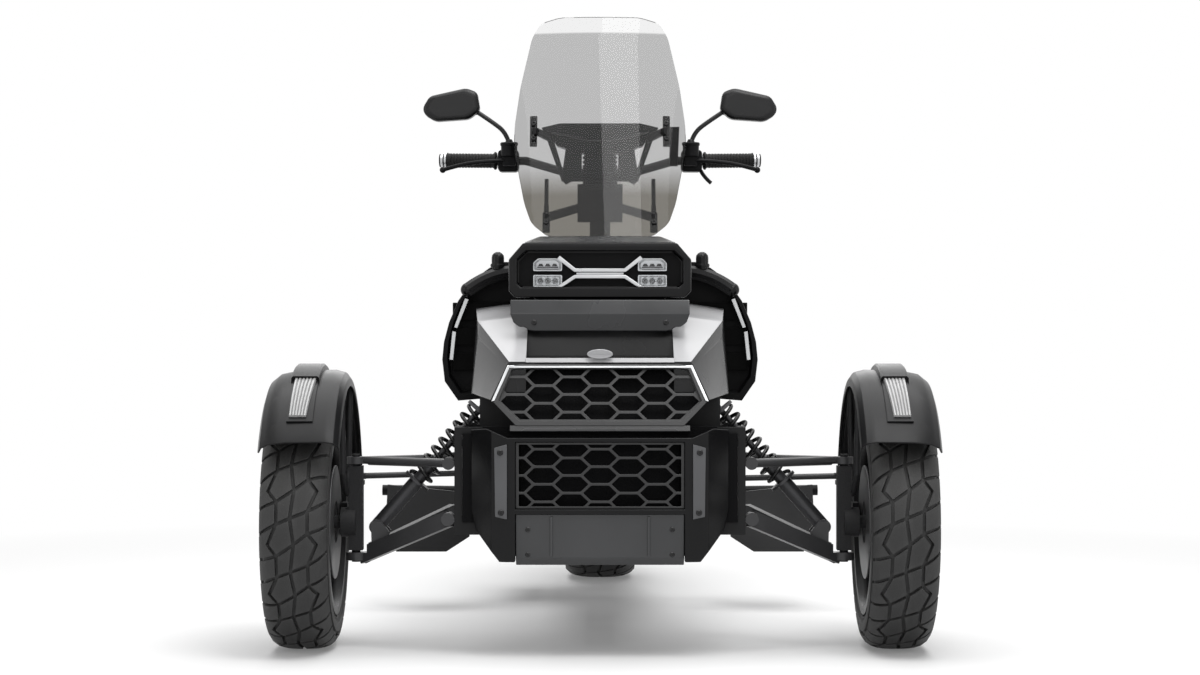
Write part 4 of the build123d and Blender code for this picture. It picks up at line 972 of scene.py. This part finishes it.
class TRIKE_OT_nose(bpy.types.Operator):
    """Adds the rim of the grille, the lip line, the plain oval boss, the lining and the bolts of the nose; the
    lip line is a painted highlight and the black lining behind the gaps is painted shade
    """
    bl_idname = "trike.nose"
    bl_label = "Nose trim"

    def execute(self, context):
        rim = prism([*both(RIM_OUTER), *flat(RIM_INNER)], -1093, -1086, edge=1.0)
        rim = tilted(rim, GRILLE_FOOT, GRILLE_LEAN)
        solid("Grille_rim", [rim], "trim_silver", "chassis")
        # painted highlight: a lighter strip along the bumper's lip stands in for the light that its sloping top
        # catches
        lip = prism(both(LIP_HIGHLIGHT_BAND), -1094.5, -1090, edge=0.8)
        solid("Lip_highlight_line", [lip], "satin_grey", "chassis")
        # painted shade: a black lining behind the gaps of the nose stands in for the shade inside it
        lining = [tilted(prism(both(LINING_UPPER), -1056, -1050, edge=1.0), GRILLE_FOOT, GRILLE_LEAN),
                  prism(flat(LINING_GAP), -1062, -1056, edge=1.0),
                  prism(both(LINING_BEHIND), -1052, -1046, edge=1.0),
                  *pair(prism(LINING_SIDE, -1040, -1034, edge=1.0))]
        solid("Grille_shade_lining", lining, "radiator_black", "chassis")
        boss = bmesh.new()
        bmesh.ops.create_cone(boss, cap_ends=True, segments=48, radius1=1.0, radius2=1.0, depth=1.0)
        bmesh.ops.scale(boss, verts=boss.verts, vec=(*BOSS_HALF, 9.0))
        turn = Matrix.Rotation(math.radians(90.0), 3, "X")
        bmesh.ops.rotate(boss, verts=boss.verts, cent=(0, 0, 0), matrix=turn)
        bmesh.ops.translate(boss, verts=boss.verts, vec=BOSS_PLACE)
        front = [face for face in boss.faces if face.normal.y < -0.9]
        round_edges(boss, [edge for face in front for edge in face.edges], 2.0, 3)
        front = [face for face in boss.faces if face.normal.y < -0.99]
        bmesh.ops.inset_region(boss, faces=front, thickness=3.0, depth=-0.8, use_even_offset=True)
        foot = beam((0, -1022, 668), (0, -1022, 678), 30, 6)
        solid("Oval_boss", [boss, foot], "badge_silver", "chassis", sharp=30.0)
        heads = []
        for x, z in STRIP_BOLTS:
            heads += pair(bolt((x, -1108, z), FORWARDS, 7.0, 4.5))
        for x, z in SKID_BOLTS:
            heads += pair(bolt((x, -1093.6 - (z - 226) * SKID_LEAN, z), FORWARDS, 6.0, 3.0))
        for x, z in CHIN_BOLTS:
            heads += pair(bolt((x, -941, z), FORWARDS, 6.5, 4.0))
        solid("Nose_bolts", heads, "spring_black", "chassis")
        return {"FINISHED"}


# ------------------------------------------------------------ cheeks
CHEEK_SECTIONS = (
    (-668.0, ((178, 575), (338, 562), (370, 608), (376, 660), (372, 702), (360, 748),
              (338, 800), (302, 851), (263, 879), (227, 893), (178, 893))),
    (-480.0, ((160, 590), (318, 578), (350, 625), (354, 665), (350, 705), (338, 748),
              (318, 795), (284, 834), (248, 856), (215, 866), (160, 866))),
    (-330.0, ((110, 606), (222, 604), (238, 640), (240, 668), (238, 700), (232, 730),
              (222, 756), (206, 776), (188, 786), (170, 792), (110, 792))),
)
DUCT_MOUTH = (0.88, 0.92)
DUCT_DEPTH = 60.0
TRIM_UPPER = ((312, 803), (339, 735), (347, 737), (321, 806))
TRIM_LOWER = ((342, 726), (349, 659), (358, 660), (351, 728))
SHOULDER_LINE = ((206, -668, 868), (262, -676, 866), (314, -684, 826))
VANES = (655.0, 715.0, 775.0)
CHEEK_SHARP = 38.0
KNOB = ((0, 15), (40, 15), (46, 14), (51, 10), (54, 5))
KNOB_COLLAR = ((0, 17), (4, 18), (8, 17))


def cheek():
    """A cheek of the body with a deep duct in its front."""
    part = loft(CHEEK_SECTIONS)
    front = [face for face in part.faces if face.normal.y < -0.9]
    round_edges(part, [edge for face in front for edge in face.edges], 3.0, 2)
    front = [face for face in part.faces if face.normal.y < -0.99]
    front = step_in(part, front, DUCT_MOUTH, 0.0)
    step_in(part, front, (0.97, 0.97), DUCT_DEPTH)
    return part


class TRIKE_OT_cheeks(bpy.types.Operator):
    """Models the cheeks, their bright inserts and the rounded shoulders"""
    bl_idname = "trike.cheeks"
    bl_label = "Cheeks"

    def execute(self, context):
        shell = solid("Cheeks", pair(cheek()), "mould_black", "chassis", sharp=CHEEK_SHARP)
        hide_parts("side_panels")
        slats = []
        for z in VANES:
            slats += pair(beam((192, -640, z), (352, -640, z), 5.0, 42.0))
        solid("Cheek_vanes", slats, "deep_black", "chassis")
        bars = []
        for outline in (TRIM_UPPER, TRIM_LOWER):
            bars += pair(prism(outline, -674, -664, edge=1.4))
        trims = solid("Cheek_inserts", bars, "trim_silver", "chassis")
        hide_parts("side_trim")
        humps = pair(bent_bar(SHOULDER_LINE, 17.0)) + pair(ball(SHOULDER_LINE[-1], 17.0))
        for profile, foot in ((KNOB, 862), (KNOB_COLLAR, 880)):
            humps += pair(turned(profile, (243, -668, foot), (243, -668, 920), 28))
        cover = solid("Shoulder_covers", humps, "mould_gloss", "chassis")
        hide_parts("shoulders")
        return {"FINISHED"}


# ------------------------------------------------------------ screen
SCREEN_OUTLINE = ((128, 958), (168, 990), (186, 1040), (202, 1120), (214, 1190), (213, 1240), (200, 1340),
                  (172, 1470), (150, 1508), (100, 1522))
SCREEN_FOOT = (-556.0, 958.0)
SCREEN_KINK = (-288.0, 1480.0)
SCREEN_TIP = (-270.0, 1522.0)
SCREEN_HALF = 225.0
SCREEN_SAG = 60.0
SCREEN_THICK = 4.0
SCREEN_OUT = (0, -0.89, 0.46)       # square to the screen, forwards
SCREEN_PADS = ((131, 968, 1016, 18.0), (165, 1186, 1262, 18.0), (131, 1030, 1100, 10.0))
SCREEN_BOLTS = ((131, 992), (165, 1205), (165, 1243))


def screen_y(x, z):
    """Front face of the screen at a point of its outline."""
    (y0, z0), (y1, z1), (y2, z2) = SCREEN_FOOT, SCREEN_KINK, SCREEN_TIP
    rise = y0 + (y1 - y0) * (z - z0) / (z1 - z0) if z < z1 else y1 + (y2 - y1) * (z - z1) / (z2 - z1)
    return rise + SCREEN_SAG * (x / SCREEN_HALF) ** 2


def cut_lines(part, places, normal):
    """Divides a flat shape along parallel lines."""
    for place in places:
        bmesh.ops.bisect_plane(part, geom=everything(part), dist=0.001, plane_co=Vector(normal) * place,
                               plane_no=normal)


def bowed_sheet():
    """The screen as one bent sheet with its thickness."""
    part = bmesh.new()
    part.faces.new([part.verts.new((x, 0.0, z)) for x, z in both(SCREEN_OUTLINE)])
    bmesh.ops.bevel(part, geom=part.verts[:], offset=12.0, offset_type="OFFSET", segments=4, profile=0.5,
                    affect="VERTICES", material=-1, clamp_overlap=True)
    cut_lines(part, [step * 18.0 for step in range(-11, 12)], (1, 0, 0))
    cut_lines(part, [SCREEN_KINK[1] + step * 4.0 for step in range(-4, 5)], (0, 0, 1))
    cut_lines(part, range(980, 1460, 40), (0, 0, 1))
    for vert in part.verts:
        vert.co.y = screen_y(vert.co.x, vert.co.z)
    part.normal_update()
    if next(iter(part.faces)).normal.y > 0.0:
        bmesh.ops.reverse_faces(part, faces=part.faces)
    bmesh.ops.solidify(part, geom=part.faces[:], thickness=SCREEN_THICK)
    bmesh.ops.recalc_face_normals(part, faces=part.faces)
    return part


class TRIKE_OT_screen(bpy.types.Operator):
    """Models the tinted screen and the arms that hold it"""
    bl_idname = "trike.screen"
    bl_label = "Windscreen"

    def execute(self, context):
        sheet = solid("Screen_sheet", [bowed_sheet()], "screen", "steering", sharp=50.0)
        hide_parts("windscreen")
        arms = []
        for x, low, high, width in SCREEN_PADS:
            foot = screen_y(x, low) + SCREEN_THICK + 5
            head = screen_y(x, high) + SCREEN_THICK + 5
            arms += pair(beam((x, foot, low), (x, head, high), width, 10.0, 2.0))
        arms += pair(beam((54, -240, 1040), (131, -512, 1004), 10.0, 22.0, 2.0))
        arms += pair(beam((126, -262, 1215), (163, -400, 1225), 10.0, 18.0, 2.0))
        joint = (131, screen_y(131, 1016) + 9, 1014), (131, screen_y(131, 1034) + 9, 1034)
        arms += pair(beam(*joint, 12.0, 10.0, 2.0))
        for x, z in SCREEN_BOLTS:
            arms += pair(bolt((x, screen_y(x, z) + 1.0, z), SCREEN_OUT, 7.0, 5.0))
        holders = solid("Screen_arms", arms, "frame_black", "steering")
        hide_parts("screen_brackets")
        return {"FINISHED"}


# ------------------------------------------------------------ cockpit
HOOD = ((35, 1205), (119, 1225), (140, 1227), (147, 1237), (100, 1248))
DISPLAY = ((50, 1174), (108, 1194), (128, 1228))
GLASS = ((46, 1180), (100, 1198), (112, 1222))
STRUT = ((122, 1228), (140, 1228), (98, 1110), (86, 1110))
WEDGE = ((46, 1176), (86, 1196), (98, 1110), (86, 1098), (46, 1120))
POST = ((40, 1098), (40, 1182))
CROSS_BAR = ((98, 1106), (98, 1118))
LIP_UPPER = ((119, 1226.5), (35, 1206.5))
LIP_LOWER = ((120, 1223), (35, 1203))
SLATS = range(1118, 1163, 11)
DIAL_STEPS, DIAL_PITCH, DIAL_LEVEL = 7, 24, 1213
NUMBER_PLACE = -231.6


def numerals():
    """Plain numbers of the dial, standing just off the display's glass."""
    parts = []
    middle = DIAL_PITCH * (DIAL_STEPS - 1) / 2
    table = [(str(20 * step), 12.0, DIAL_PITCH * step - middle, DIAL_LEVEL) for step in range(DIAL_STEPS)]
    table.append(("0", 26.0, 0, 1186))
    turn = Matrix.Rotation(math.radians(180.0), 4, "Z") @ Matrix.Rotation(math.radians(90.0), 4, "X")
    for text, size, x, z in table:
        curve = bpy.data.curves.new("numeral", "FONT")
        curve.body = text
        curve.size = size * 0.55 if len(text) > 2 else size * 0.7
        curve.align_x = "CENTER"
        curve.extrude = 0.15
        part = from_curve(curve)
        bmesh.ops.transform(part, matrix=Matrix.Translation((x, NUMBER_PLACE, z)) @ turn, verts=part.verts)
        parts.append(part)
    return parts


class TRIKE_OT_cockpit(bpy.types.Operator):
    """Models the hooded display with its struts and the plain numbers of its dial"""
    bl_idname = "trike.cockpit"
    bl_label = "Cockpit"

    def execute(self, context):
        shell = [prism(both(HOOD), -332, -236, corner=3.0, edge=3.0),
                 prism(both(DISPLAY), -300, -236, corner=3.0, edge=2.0),
                 prism(both(POST), -264, -236, edge=2.0)]
        shell += [prism(flat(((44, z), (44, z + 6))), -284, -260, edge=1.5) for z in SLATS]
        shell += pair(prism(STRUT, -268, -244, edge=2.0)) + pair(prism(WEDGE, -262, -240, edge=2.5))
        shell.append(prism(flat(CROSS_BAR), -268, -244, edge=2.0))
        cowl = solid("Display_cowl", shell, "mould_gloss", "steering")
        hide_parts("instrument_cowl")
        edge_line = prism([*both(LIP_UPPER), *flat(LIP_LOWER)], -334, -328, edge=0.8)
        solid("Cowl_edge", [edge_line], "satin_grey", "steering")
        glass = prism(both(GLASS), -237, -232.5, corner=4.0, edge=0.8)
        solid("Display_glass", [glass], "display_glass", "steering")
        solid("Dial_numbers", numerals(), "lamp_white", "steering")
        return {"FINISHED"}


# ------------------------------------------------------------ handlebar
GRIP_ENDS = ((266, -156.3, 1165.1), (394, -141.6, 1166.9))
BAR_END = ((394, -141.6, 1166.9), (411, -139.6, 1167.1))
LEVER = ((238, -206, 1163), (300, -216, 1160), (360, -212, 1151), (402, -204, 1139))
SWITCH_BOX = ((208, 1136), (208, 1192), (262, 1192), (262, 1136))
RIB_COUNT, RIB_START, RIB_PITCH = 14, 10.0, 8.0
RIB = ((0.0, 18.6), (1.0, 17.4), (2.6, 17.4), (3.6, 18.6))
GRIP_COLLAR = ((0.0, 21.0), (2.0, 23.0), (5.0, 23.0), (7.0, 19.0))
GRIP_TIP = ((125.0, 18.6), (127.0, 20.0), (128.6, 20.0))
CAP = ((0.0, 16.0), (1.5, 18.0), (6.0, 18.0), (7.0, 16.6),
       (9.0, 16.6), (10.0, 18.0), (15.5, 17.4), (17.0, 14.0))
RESERVOIR = ((0, 21), (26, 21), (28, 23), (33, 23), (35, 21))
LEVER_STOP = ((177, 1150), (199, 1150), (203, 1250), (180, 1250))
HOOK = ((258, -172, 1140), (266, -190, 1122), (284, -196, 1106))
BUTTON = ((0, 5), (3, 5), (4, 4))
BUTTONS = ((222, 1180), (222, 1164), (244, 1150))


class TRIKE_OT_controls(bpy.types.Operator):
    """Models the ribbed grips, bright bar ends, levers and switch boxes"""
    bl_idname = "trike.controls"
    bl_label = "Hand controls"

    def execute(self, context):
        profile = list(GRIP_COLLAR)
        for number in range(RIB_COUNT):
            profile += [(RIB_START + number * RIB_PITCH + along, radius) for along, radius in RIB]
        profile += GRIP_TIP
        rubber = solid("Hand_grips", pair(turned(profile, *GRIP_ENDS, 36)), "grip_rubber",
                       "steering", sharp=50.0)
        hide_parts("grips")
        solid("Bar_ends", pair(turned(CAP, *BAR_END, 36)), "trim_silver", "steering")
        boxes = pair(prism(SWITCH_BOX, -188, -134, corner=10.0, edge=5.0, edge_steps=3))
        boxes += pair(beam((232, -212, 1163), (232, -182, 1163), 34, 28, 4.0))
        boxes += pair(turned(RESERVOIR, (232, -206, 1174), (232, -206, 1210), 32))
        boxes += pair(bent_bar(LEVER, 5.5)) + pair(ball(LEVER[-1], 8.0))
        boxes.append(prism(LEVER_STOP, -192, -160, edge=4.0))
        boxes.append(bent_bar(HOOK, 5.0))
        for x, z in BUTTONS:
            boxes += pair(turned(BUTTON, (x, -136, z), (x, -130, z), 16))
        controls = solid("Controls", boxes, "mould_black", "steering")
        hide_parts("hand_controls")
        return {"FINISHED"}


# ------------------------------------------------------------ mirrors
MIRROR = ((452, 1295), (434, 1325), (341, 1346), (312, 1335),
          (305, 1290), (333, 1267), (419, 1261), (446, 1277))
MIRROR_MIDDLE = (378.0, 1302.0)
STEM_LINE = ((316, -208, 1288), (276, -208, 1262), (240, -206, 1234), (232, -206, 1206))
STEM_FOOT = ((0, 10), (8, 10), (14, 7))
DOME = ((0.97, -2.5), (0.93, -2.5), (0.84, -2.0))       # steps of the shell's front: share and depth
GLASS_SHARE = 0.92


def scaled_outline(outline, middle, share):
    """An outline drawn in towards its middle."""
    return [(middle[0] + (x - middle[0]) * share, middle[1] + (z - middle[1]) * share) for x, z in outline]


class TRIKE_OT_mirrors(bpy.types.Operator):
    """Models the mirrors with domed shells, glass and stems"""
    bl_idname = "trike.mirrors"
    bl_label = "Mirrors"

    def execute(self, context):
        shell = prism(MIRROR, -228, -198, corner=11.0)
        front = [face for face in shell.faces if face.normal.y < -0.9]
        for share, depth in DOME:
            front = step_in(shell, front, (share, share - 0.03), depth)
        back = [face for face in shell.faces if face.normal.y > 0.9]
        back = step_in(shell, back, (0.95, 0.92), 0.0)
        step_in(shell, back, (1.0, 1.0), -3.0)
        stems = pair(bent_bar(STEM_LINE, 6.0))
        stems += pair(turned(STEM_FOOT, (232, -206, 1203), (232, -206, 1220), 20))
        stems += pair(ball(STEM_LINE[0], 9.0))
        heads = solid("Mirror_heads", pair(shell) + stems, "mirror_shell", "steering",
                      sharp=45.0)
        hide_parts("mirrors")
        glass = prism(scaled_outline(MIRROR, MIRROR_MIDDLE, GLASS_SHARE), -201.5, -198.5, corner=10.0)
        solid("Mirror_glass", pair(glass), "mirror_glass", "steering")
        return {"FINISHED"}


# ------------------------------------------------------------ mudguard lamps
AXLE = (-886.0, 290.0)
CAP_SECTION = ((630, 347), (631, 360), (635, 364), (689, 364), (693, 360), (694, 347))
LENS_SIDE = (636.0, 685.0)
LENS_RIBS = 6
LENS_RIB = ((0.25, 359.6), (0.75, 359.6), (1, 356.6))   # share of a rib's width, and radius
LENS_RIM = ((632, 346), (632, 353), (690, 353), (690, 346))
CAP_SPAN = (-16.0, 22.0)            # degrees forwards of the wheel's top
RIM_SPAN = (20.0, 47.0)
LENS_SPAN = (20.0, 45.0)
LENS_TAPER = 0.22


def ribbed_lens():
    """Pale lens with upright ribs, narrower towards its lower end."""
    x0, x1 = LENS_SIDE
    pitch = (x1 - x0) / LENS_RIBS
    section = [(x0, 347.0), (x0, 356.0)]
    for rib in range(LENS_RIBS):
        section += [(x0 + pitch * (rib + share), radius) for share, radius in LENS_RIB]
    section += [(x1, 347.0)]
    part = swept(section, AXLE, *LENS_SPAN, 12)
    for vert in part.verts:
        turn = math.degrees(math.atan2(AXLE[0] - vert.co.y, vert.co.z - AXLE[1]))
        share = (turn - LENS_SPAN[0]) / (LENS_SPAN[1] - LENS_SPAN[0])
        vert.co.x = x1 + (vert.co.x - x1) * (1.0 - LENS_TAPER * share)
    return part


class TRIKE_OT_fender_lamps(bpy.types.Operator):
    """Models the cap and the ribbed lens on each mudguard"""
    bl_idname = "trike.fender_lamps"
    bl_label = "Mudguard lamps"

    def execute(self, context):
        for side, sign in (("left", 1), ("right", -1)):
            cap = swept(CAP_SECTION, AXLE, *CAP_SPAN, 16)
            lens = ribbed_lens()
            rim = swept(LENS_RIM, AXLE, *RIM_SPAN, 12)
            if sign < 0:
                cap, lens, rim = flipped(cap), flipped(lens), flipped(rim)
            body = "upright_" + side
            solid("Lamp_cap_" + side, [cap, rim], "satin_black", body)
            cover = solid("Lamp_lens_" + side, [lens], "lamp_white", body, sharp=50.0)
            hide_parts("fender_lamp_" + side)
        return {"FINISHED"}


# ------------------------------------------------------------ saddle
SEAT_TABLE = (                      # place along Y, half width, lower and upper face
    (94.0, 62.0, 566.0, 636.0),
    (150.0, 80.0, 566.0, 626.0),
    (200.0, 96.0, 566.0, 619.0),
    (265.0, 122.0, 568.0, 618.0),
    (330.0, 138.0, 568.0, 621.0),
    (430.0, 147.0, 574.0, 640.0),
    (490.0, 144.0, 584.0, 664.0),
    (540.0, 138.0, 592.0, 696.0),
    (600.0, 124.0, 604.0, 726.0),
    (650.0, 106.0, 622.0, 731.0),
)
SEAM_SHARE = 0.72                   # place of the side seams across the saddle
CROSS_SEAMS = (250.0, 300.0, 350.0, 400.0, 560.0)
SEAM_DEPTH = 3.2
SEAM_WIDTH = 3.6
SWELL_LIMIT = 0.007
STITCH_PITCH = 6.5
STITCH_SHARE = 0.62                 # length of a stitch, as a share of its pitch
FILL_FRAMES = 20
FILL_PRESSURE = 4.0
PAD_VOXEL = 0.005


def seat_section(half, low, high):
    """An outline across the saddle, crowned in the middle."""
    return both([(half - 20, low), (half - 3, low + 14), (half, (low + high) / 2), (half - 5, high - 18),
                 (half - 22, high - 5), (half * 0.45, high)])


def seat_half(y):
    """Half width of the saddle at a place along it."""
    for near, far in zip(SEAT_TABLE, SEAT_TABLE[1:]):
        if y <= far[0]:
            share = max(0.0, (y - near[0]) / (far[0] - near[0]))
            return near[1] + (far[1] - near[1]) * share
    return SEAT_TABLE[-1][1]


def swell(piece):
    """Fills the pad by a short pressure simulation and keeps its result, within a limit."""
    before = [vert.co.copy() for vert in piece.data.vertices]
    fixed = piece.vertex_groups.new(name="base")
    low = min(point.z for point in before)
    base = [index for index, point in enumerate(before)
            if point.z < low + 0.012 + max(0.0, point.y - 0.4) * 0.2]
    fixed.add(base, 1.0, "ADD")
    cloth = piece.modifiers.new("Fill", "CLOTH")
    cloth.settings.use_pressure = True
    cloth.settings.uniform_pressure_force = FILL_PRESSURE
    cloth.settings.vertex_group_mass = "base"
    cloth.settings.effector_weights.gravity = 0.0
    cloth.settings.quality = 4
    cloth.point_cache.frame_start = 1
    cloth.point_cache.frame_end = FILL_FRAMES
    for number in range(1, FILL_FRAMES + 1):
        bpy.context.scene.frame_set(number)
    shape = piece.evaluated_get(bpy.context.evaluated_depsgraph_get())
    after = [vert.co.copy() for vert in shape.data.vertices]
    piece.modifiers.remove(cloth)
    piece.vertex_groups.remove(fixed)
    bpy.context.scene.frame_set(1)
    for vert, start, end in zip(piece.data.vertices, before, after):
        move = end - start
        if move.length > SWELL_LIMIT:
            move *= SWELL_LIMIT / move.length
        vert.co = start + move


def applied(piece, kind, **settings):
    """Rebuilds a piece's mesh with one modifier."""
    modifier = piece.modifiers.new(kind.title(), kind)
    for label, value in settings.items():
        setattr(modifier, label, value)
    mesh, old = final_mesh(piece), piece.data
    piece.modifiers.remove(modifier)
    piece.data = mesh
    bpy.data.meshes.remove(old)


def seam_gap(x, y):
    """Distance in millimetres from a point of the saddle's top to its nearest seam."""
    half = seat_half(y)
    gap = abs(abs(x) - SEAM_SHARE * half)
    if abs(x) < SEAM_SHARE * half:
        gap = min([gap] + [abs(y - line - 14 * math.cos(x / half * 1.6)) for line in CROSS_SEAMS])
    return gap


class TRIKE_OT_saddle(bpy.types.Operator):
    """Models the padded saddle with its channels and stitches"""
    bl_idname = "trike.saddle"
    bl_label = "Saddle"

    def execute(self, context):
        form = loft([(y, seat_section(half, low, high)) for y, half, low, high in SEAT_TABLE])
        bmesh.ops.scale(form, verts=form.verts, vec=(MM, MM, MM))
        piece = make_piece("Saddle", form, "seat_black", "chassis")
        applied(piece, "REMESH", mode="VOXEL", voxel_size=PAD_VOXEL)
        swell(piece)
        applied(piece, "SUBSURF", levels=1, render_levels=1)
        mesh = piece.data
        normals = [vert.normal.copy() for vert in mesh.vertices]
        for vert, normal in zip(mesh.vertices, normals):
            if normal.z > 0.2:
                gap = seam_gap(vert.co.x / MM, vert.co.y / MM)
                vert.co -= normal * SEAM_DEPTH * MM * math.exp(-(gap / SEAM_WIDTH) ** 2)
        shade_smooth(mesh)
        mesh.update()
        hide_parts("seat")
        self.stitches(piece)
        return {"FINISHED"}

    def stitches(self, saddle):
        """A row of short threads along each side seam."""
        tree = BVHTree.FromObject(saddle, bpy.context.evaluated_depsgraph_get())
        threads = []
        first, last = SEAT_TABLE[0][0] + 20, SEAT_TABLE[-1][0] - 20
        for number in range(int((last - first) / STITCH_PITCH)):
            y = first + number * STITCH_PITCH
            for side in (-1, 1):
                ends = []
                for shift in (0.0, STITCH_PITCH * STITCH_SHARE):
                    x = side * (SEAM_SHARE * seat_half(y + shift) - 5.0)
                    hit = tree.ray_cast(Vector((x, y + shift, 900.0)) * MM, Vector((0, 0, -1)))
                    ends.append(hit[0] / MM)
                threads.append(rod(ends[0], ends[1], 0.7, 0.3))
        solid("Saddle_thread", threads, "thread", "chassis")


# ------------------------------------------------------------ stage
FLOOR_LIFT = 0.16
FLOOR_FADE = (1.7, 3.2)             # from the middle of the vehicle, where the floor turns plain white
WORLD_STRENGTH = 0.24
WHITE = (1.0, 1.0, 1.0, 1.0)
FLOOR_HALF = 30.0
CAMERA_PLACE = (0.0, -6.886, 0.740)
CAMERA_LENS = 78.39                 # millimetres, on a sensor 36 mm wide
CAMERA_TILT = 0.252                 # degrees downwards
LAMPS = (                           # name, place, aim, width, height, power
    ("Overhead", (0.0, -0.4, 4.2), (0.0, -0.3, 0.4), 5.0, 5.0, 190.0),
    ("Front_fill", (0.0, -5.5, 2.6), (0.0, -0.5, 0.6), 3.0, 2.0, 22.0),
    ("Rear_rim", (0.0, 4.5, 3.2), (0.0, 0.3, 0.8), 3.0, 3.0, 50.0),
    ("Left_strip", (-4.0, -2.6, 1.6), (0.0, -0.6, 0.6), 0.8, 2.6, 14.0),
    ("Right_strip", (4.0, -2.6, 1.6), (0.0, -0.6, 0.6), 0.8, 2.6, 14.0),
    ("Screen_strip", (0.95, -2.8, 4.4), (0.0, -0.45, 1.25), 1.5, 2.4, 60.0),
)


class TRIKE_OT_studio(bpy.types.Operator):
    """Builds the floor, lamps, backdrop and camera"""
    bl_idname = "trike.studio"
    bl_label = "Studio"

    def execute(self, context):
        self.floor()
        self.world(context.scene)
        self.lamps()
        self.camera(context.scene)
        context.scene.view_settings.view_transform = "Standard"
        return {"FINISHED"}

    def floor(self):
        """A matt floor that turns plain white away from the vehicle."""
        maker = bmesh.new()
        bmesh.ops.create_grid(maker, x_segments=1, y_segments=1, size=FLOOR_HALF)
        floor = placed("Studio_floor", make_mesh("Studio_floor", maker))
        material = bpy.data.materials.new("Pale floor")
        material.use_nodes = True
        graph = Graph(material.node_tree)
        graph.nodes.clear()
        seen = self.seen(graph)
        matte = graph.node("BsdfDiffuse", {"Color": rgba(colours().floor)})
        lift = graph.node("Emission", {"Color": WHITE, "Strength": graph.math("MULTIPLY", seen, FLOOR_LIFT)})
        near = graph.node("AddShader", {0: matte.outputs[0], 1: lift.outputs[0]})
        white = graph.node("Emission", {"Color": WHITE})
        reach = graph.node("VectorMath", {0: graph.place()}, operation="LENGTH").outputs["Value"]
        share = graph.math("MULTIPLY", graph.ramp(reach, *FLOOR_FADE), seen)
        pick = graph.node("MixShader", {"Fac": share, 1: near.outputs[0], 2: white.outputs[0]})
        graph.node("OutputMaterial", {"Surface": pick.outputs[0]})
        floor.data.materials.append(material)

    def seen(self, graph):
        """1 for what the camera, a gloss or a clear pane looks at."""
        path = graph.node("LightPath").outputs
        looks = graph.math("MAXIMUM", path["Is Camera Ray"], path["Is Glossy Ray"])
        return graph.math("MAXIMUM", looks, path["Is Transmission Ray"])

    def world(self, scene):
        """A soft white surround, plain white where it is looked at."""
        scene.world = bpy.data.worlds.new("Studio world")
        scene.world.use_nodes = True
        graph = Graph(scene.world.node_tree)
        graph.nodes.clear()
        soft = graph.node("Background", {"Color": WHITE, "Strength": WORLD_STRENGTH})
        white = graph.node("Background", {"Color": WHITE})
        pick = graph.node("MixShader", {"Fac": self.seen(graph), 1: soft.outputs[0], 2: white.outputs[0]})
        graph.node("OutputWorld", {"Surface": pick.outputs[0]})

    def lamps(self):
        """Soft lamps, which neither the camera nor the screen shows."""
        for name, place, target, width, height, power in LAMPS:
            light = bpy.data.lights.new(name, "AREA")
            light.shape = "RECTANGLE"
            light.size = width
            light.size_y = height
            light.energy = power
            lamp = placed(name, light)
            lamp.location = place
            aim = Vector(target) - Vector(place)
            lamp.rotation_euler = aim.to_track_quat("-Z", "Y").to_euler()
            lamp.visible_camera = False
            lamp.visible_transmission = False

    def camera(self, scene):
        """The camera, straight in front."""
        data = bpy.data.cameras.new("Front_camera")
        data.sensor_width = 36.0
        data.lens = CAMERA_LENS
        camera = placed("Front_camera", data)
        camera.location = CAMERA_PLACE
        camera.rotation_euler = (math.radians(90.0 - CAMERA_TILT), 0.0, 0.0)
        scene.camera = camera


class TRIKE_PT_panel(bpy.types.Panel):
    """Lists the steps that dress the vehicle"""
    bl_idname = "TRIKE_PT_panel"
    bl_label = "Reverse trike"
    bl_space_type = "VIEW_3D"
    bl_region_type = "UI"
    bl_category = "Trike"

    def draw(self, context):
        for step in STEPS:
            self.layout.operator(step.bl_idname)


STEPS = (TRIKE_OT_finishes, TRIKE_OT_saddle, TRIKE_OT_headlights, TRIKE_OT_nose, TRIKE_OT_cheeks,
         TRIKE_OT_screen, TRIKE_OT_cockpit, TRIKE_OT_controls, TRIKE_OT_mirrors, TRIKE_OT_fender_lamps,
         TRIKE_OT_tyres, TRIKE_OT_edges, TRIKE_OT_studio)
CLASSES = (TrikeColours, TrikeSizes, *STEPS, TRIKE_PT_panel)


def register():
    """Adds the classes and their settings."""
    for item in CLASSES:
        bpy.utils.register_class(item)
    bpy.types.Scene.trike_colours = PointerProperty(type=TrikeColours)
    bpy.types.Scene.trike_sizes = PointerProperty(type=TrikeSizes)


def unregister():
    """Takes them out again."""
    del bpy.types.Scene.trike_colours
    del bpy.types.Scene.trike_sizes
    for item in reversed(CLASSES):
        bpy.utils.unregister_class(item)


def main():
    """Registers the add-on and runs every step in order."""
    register()
    for step in STEPS:
        area, name = step.bl_idname.split(".")
        getattr(getattr(bpy.ops, area), name)()


if __name__ == "__main__":
    main()
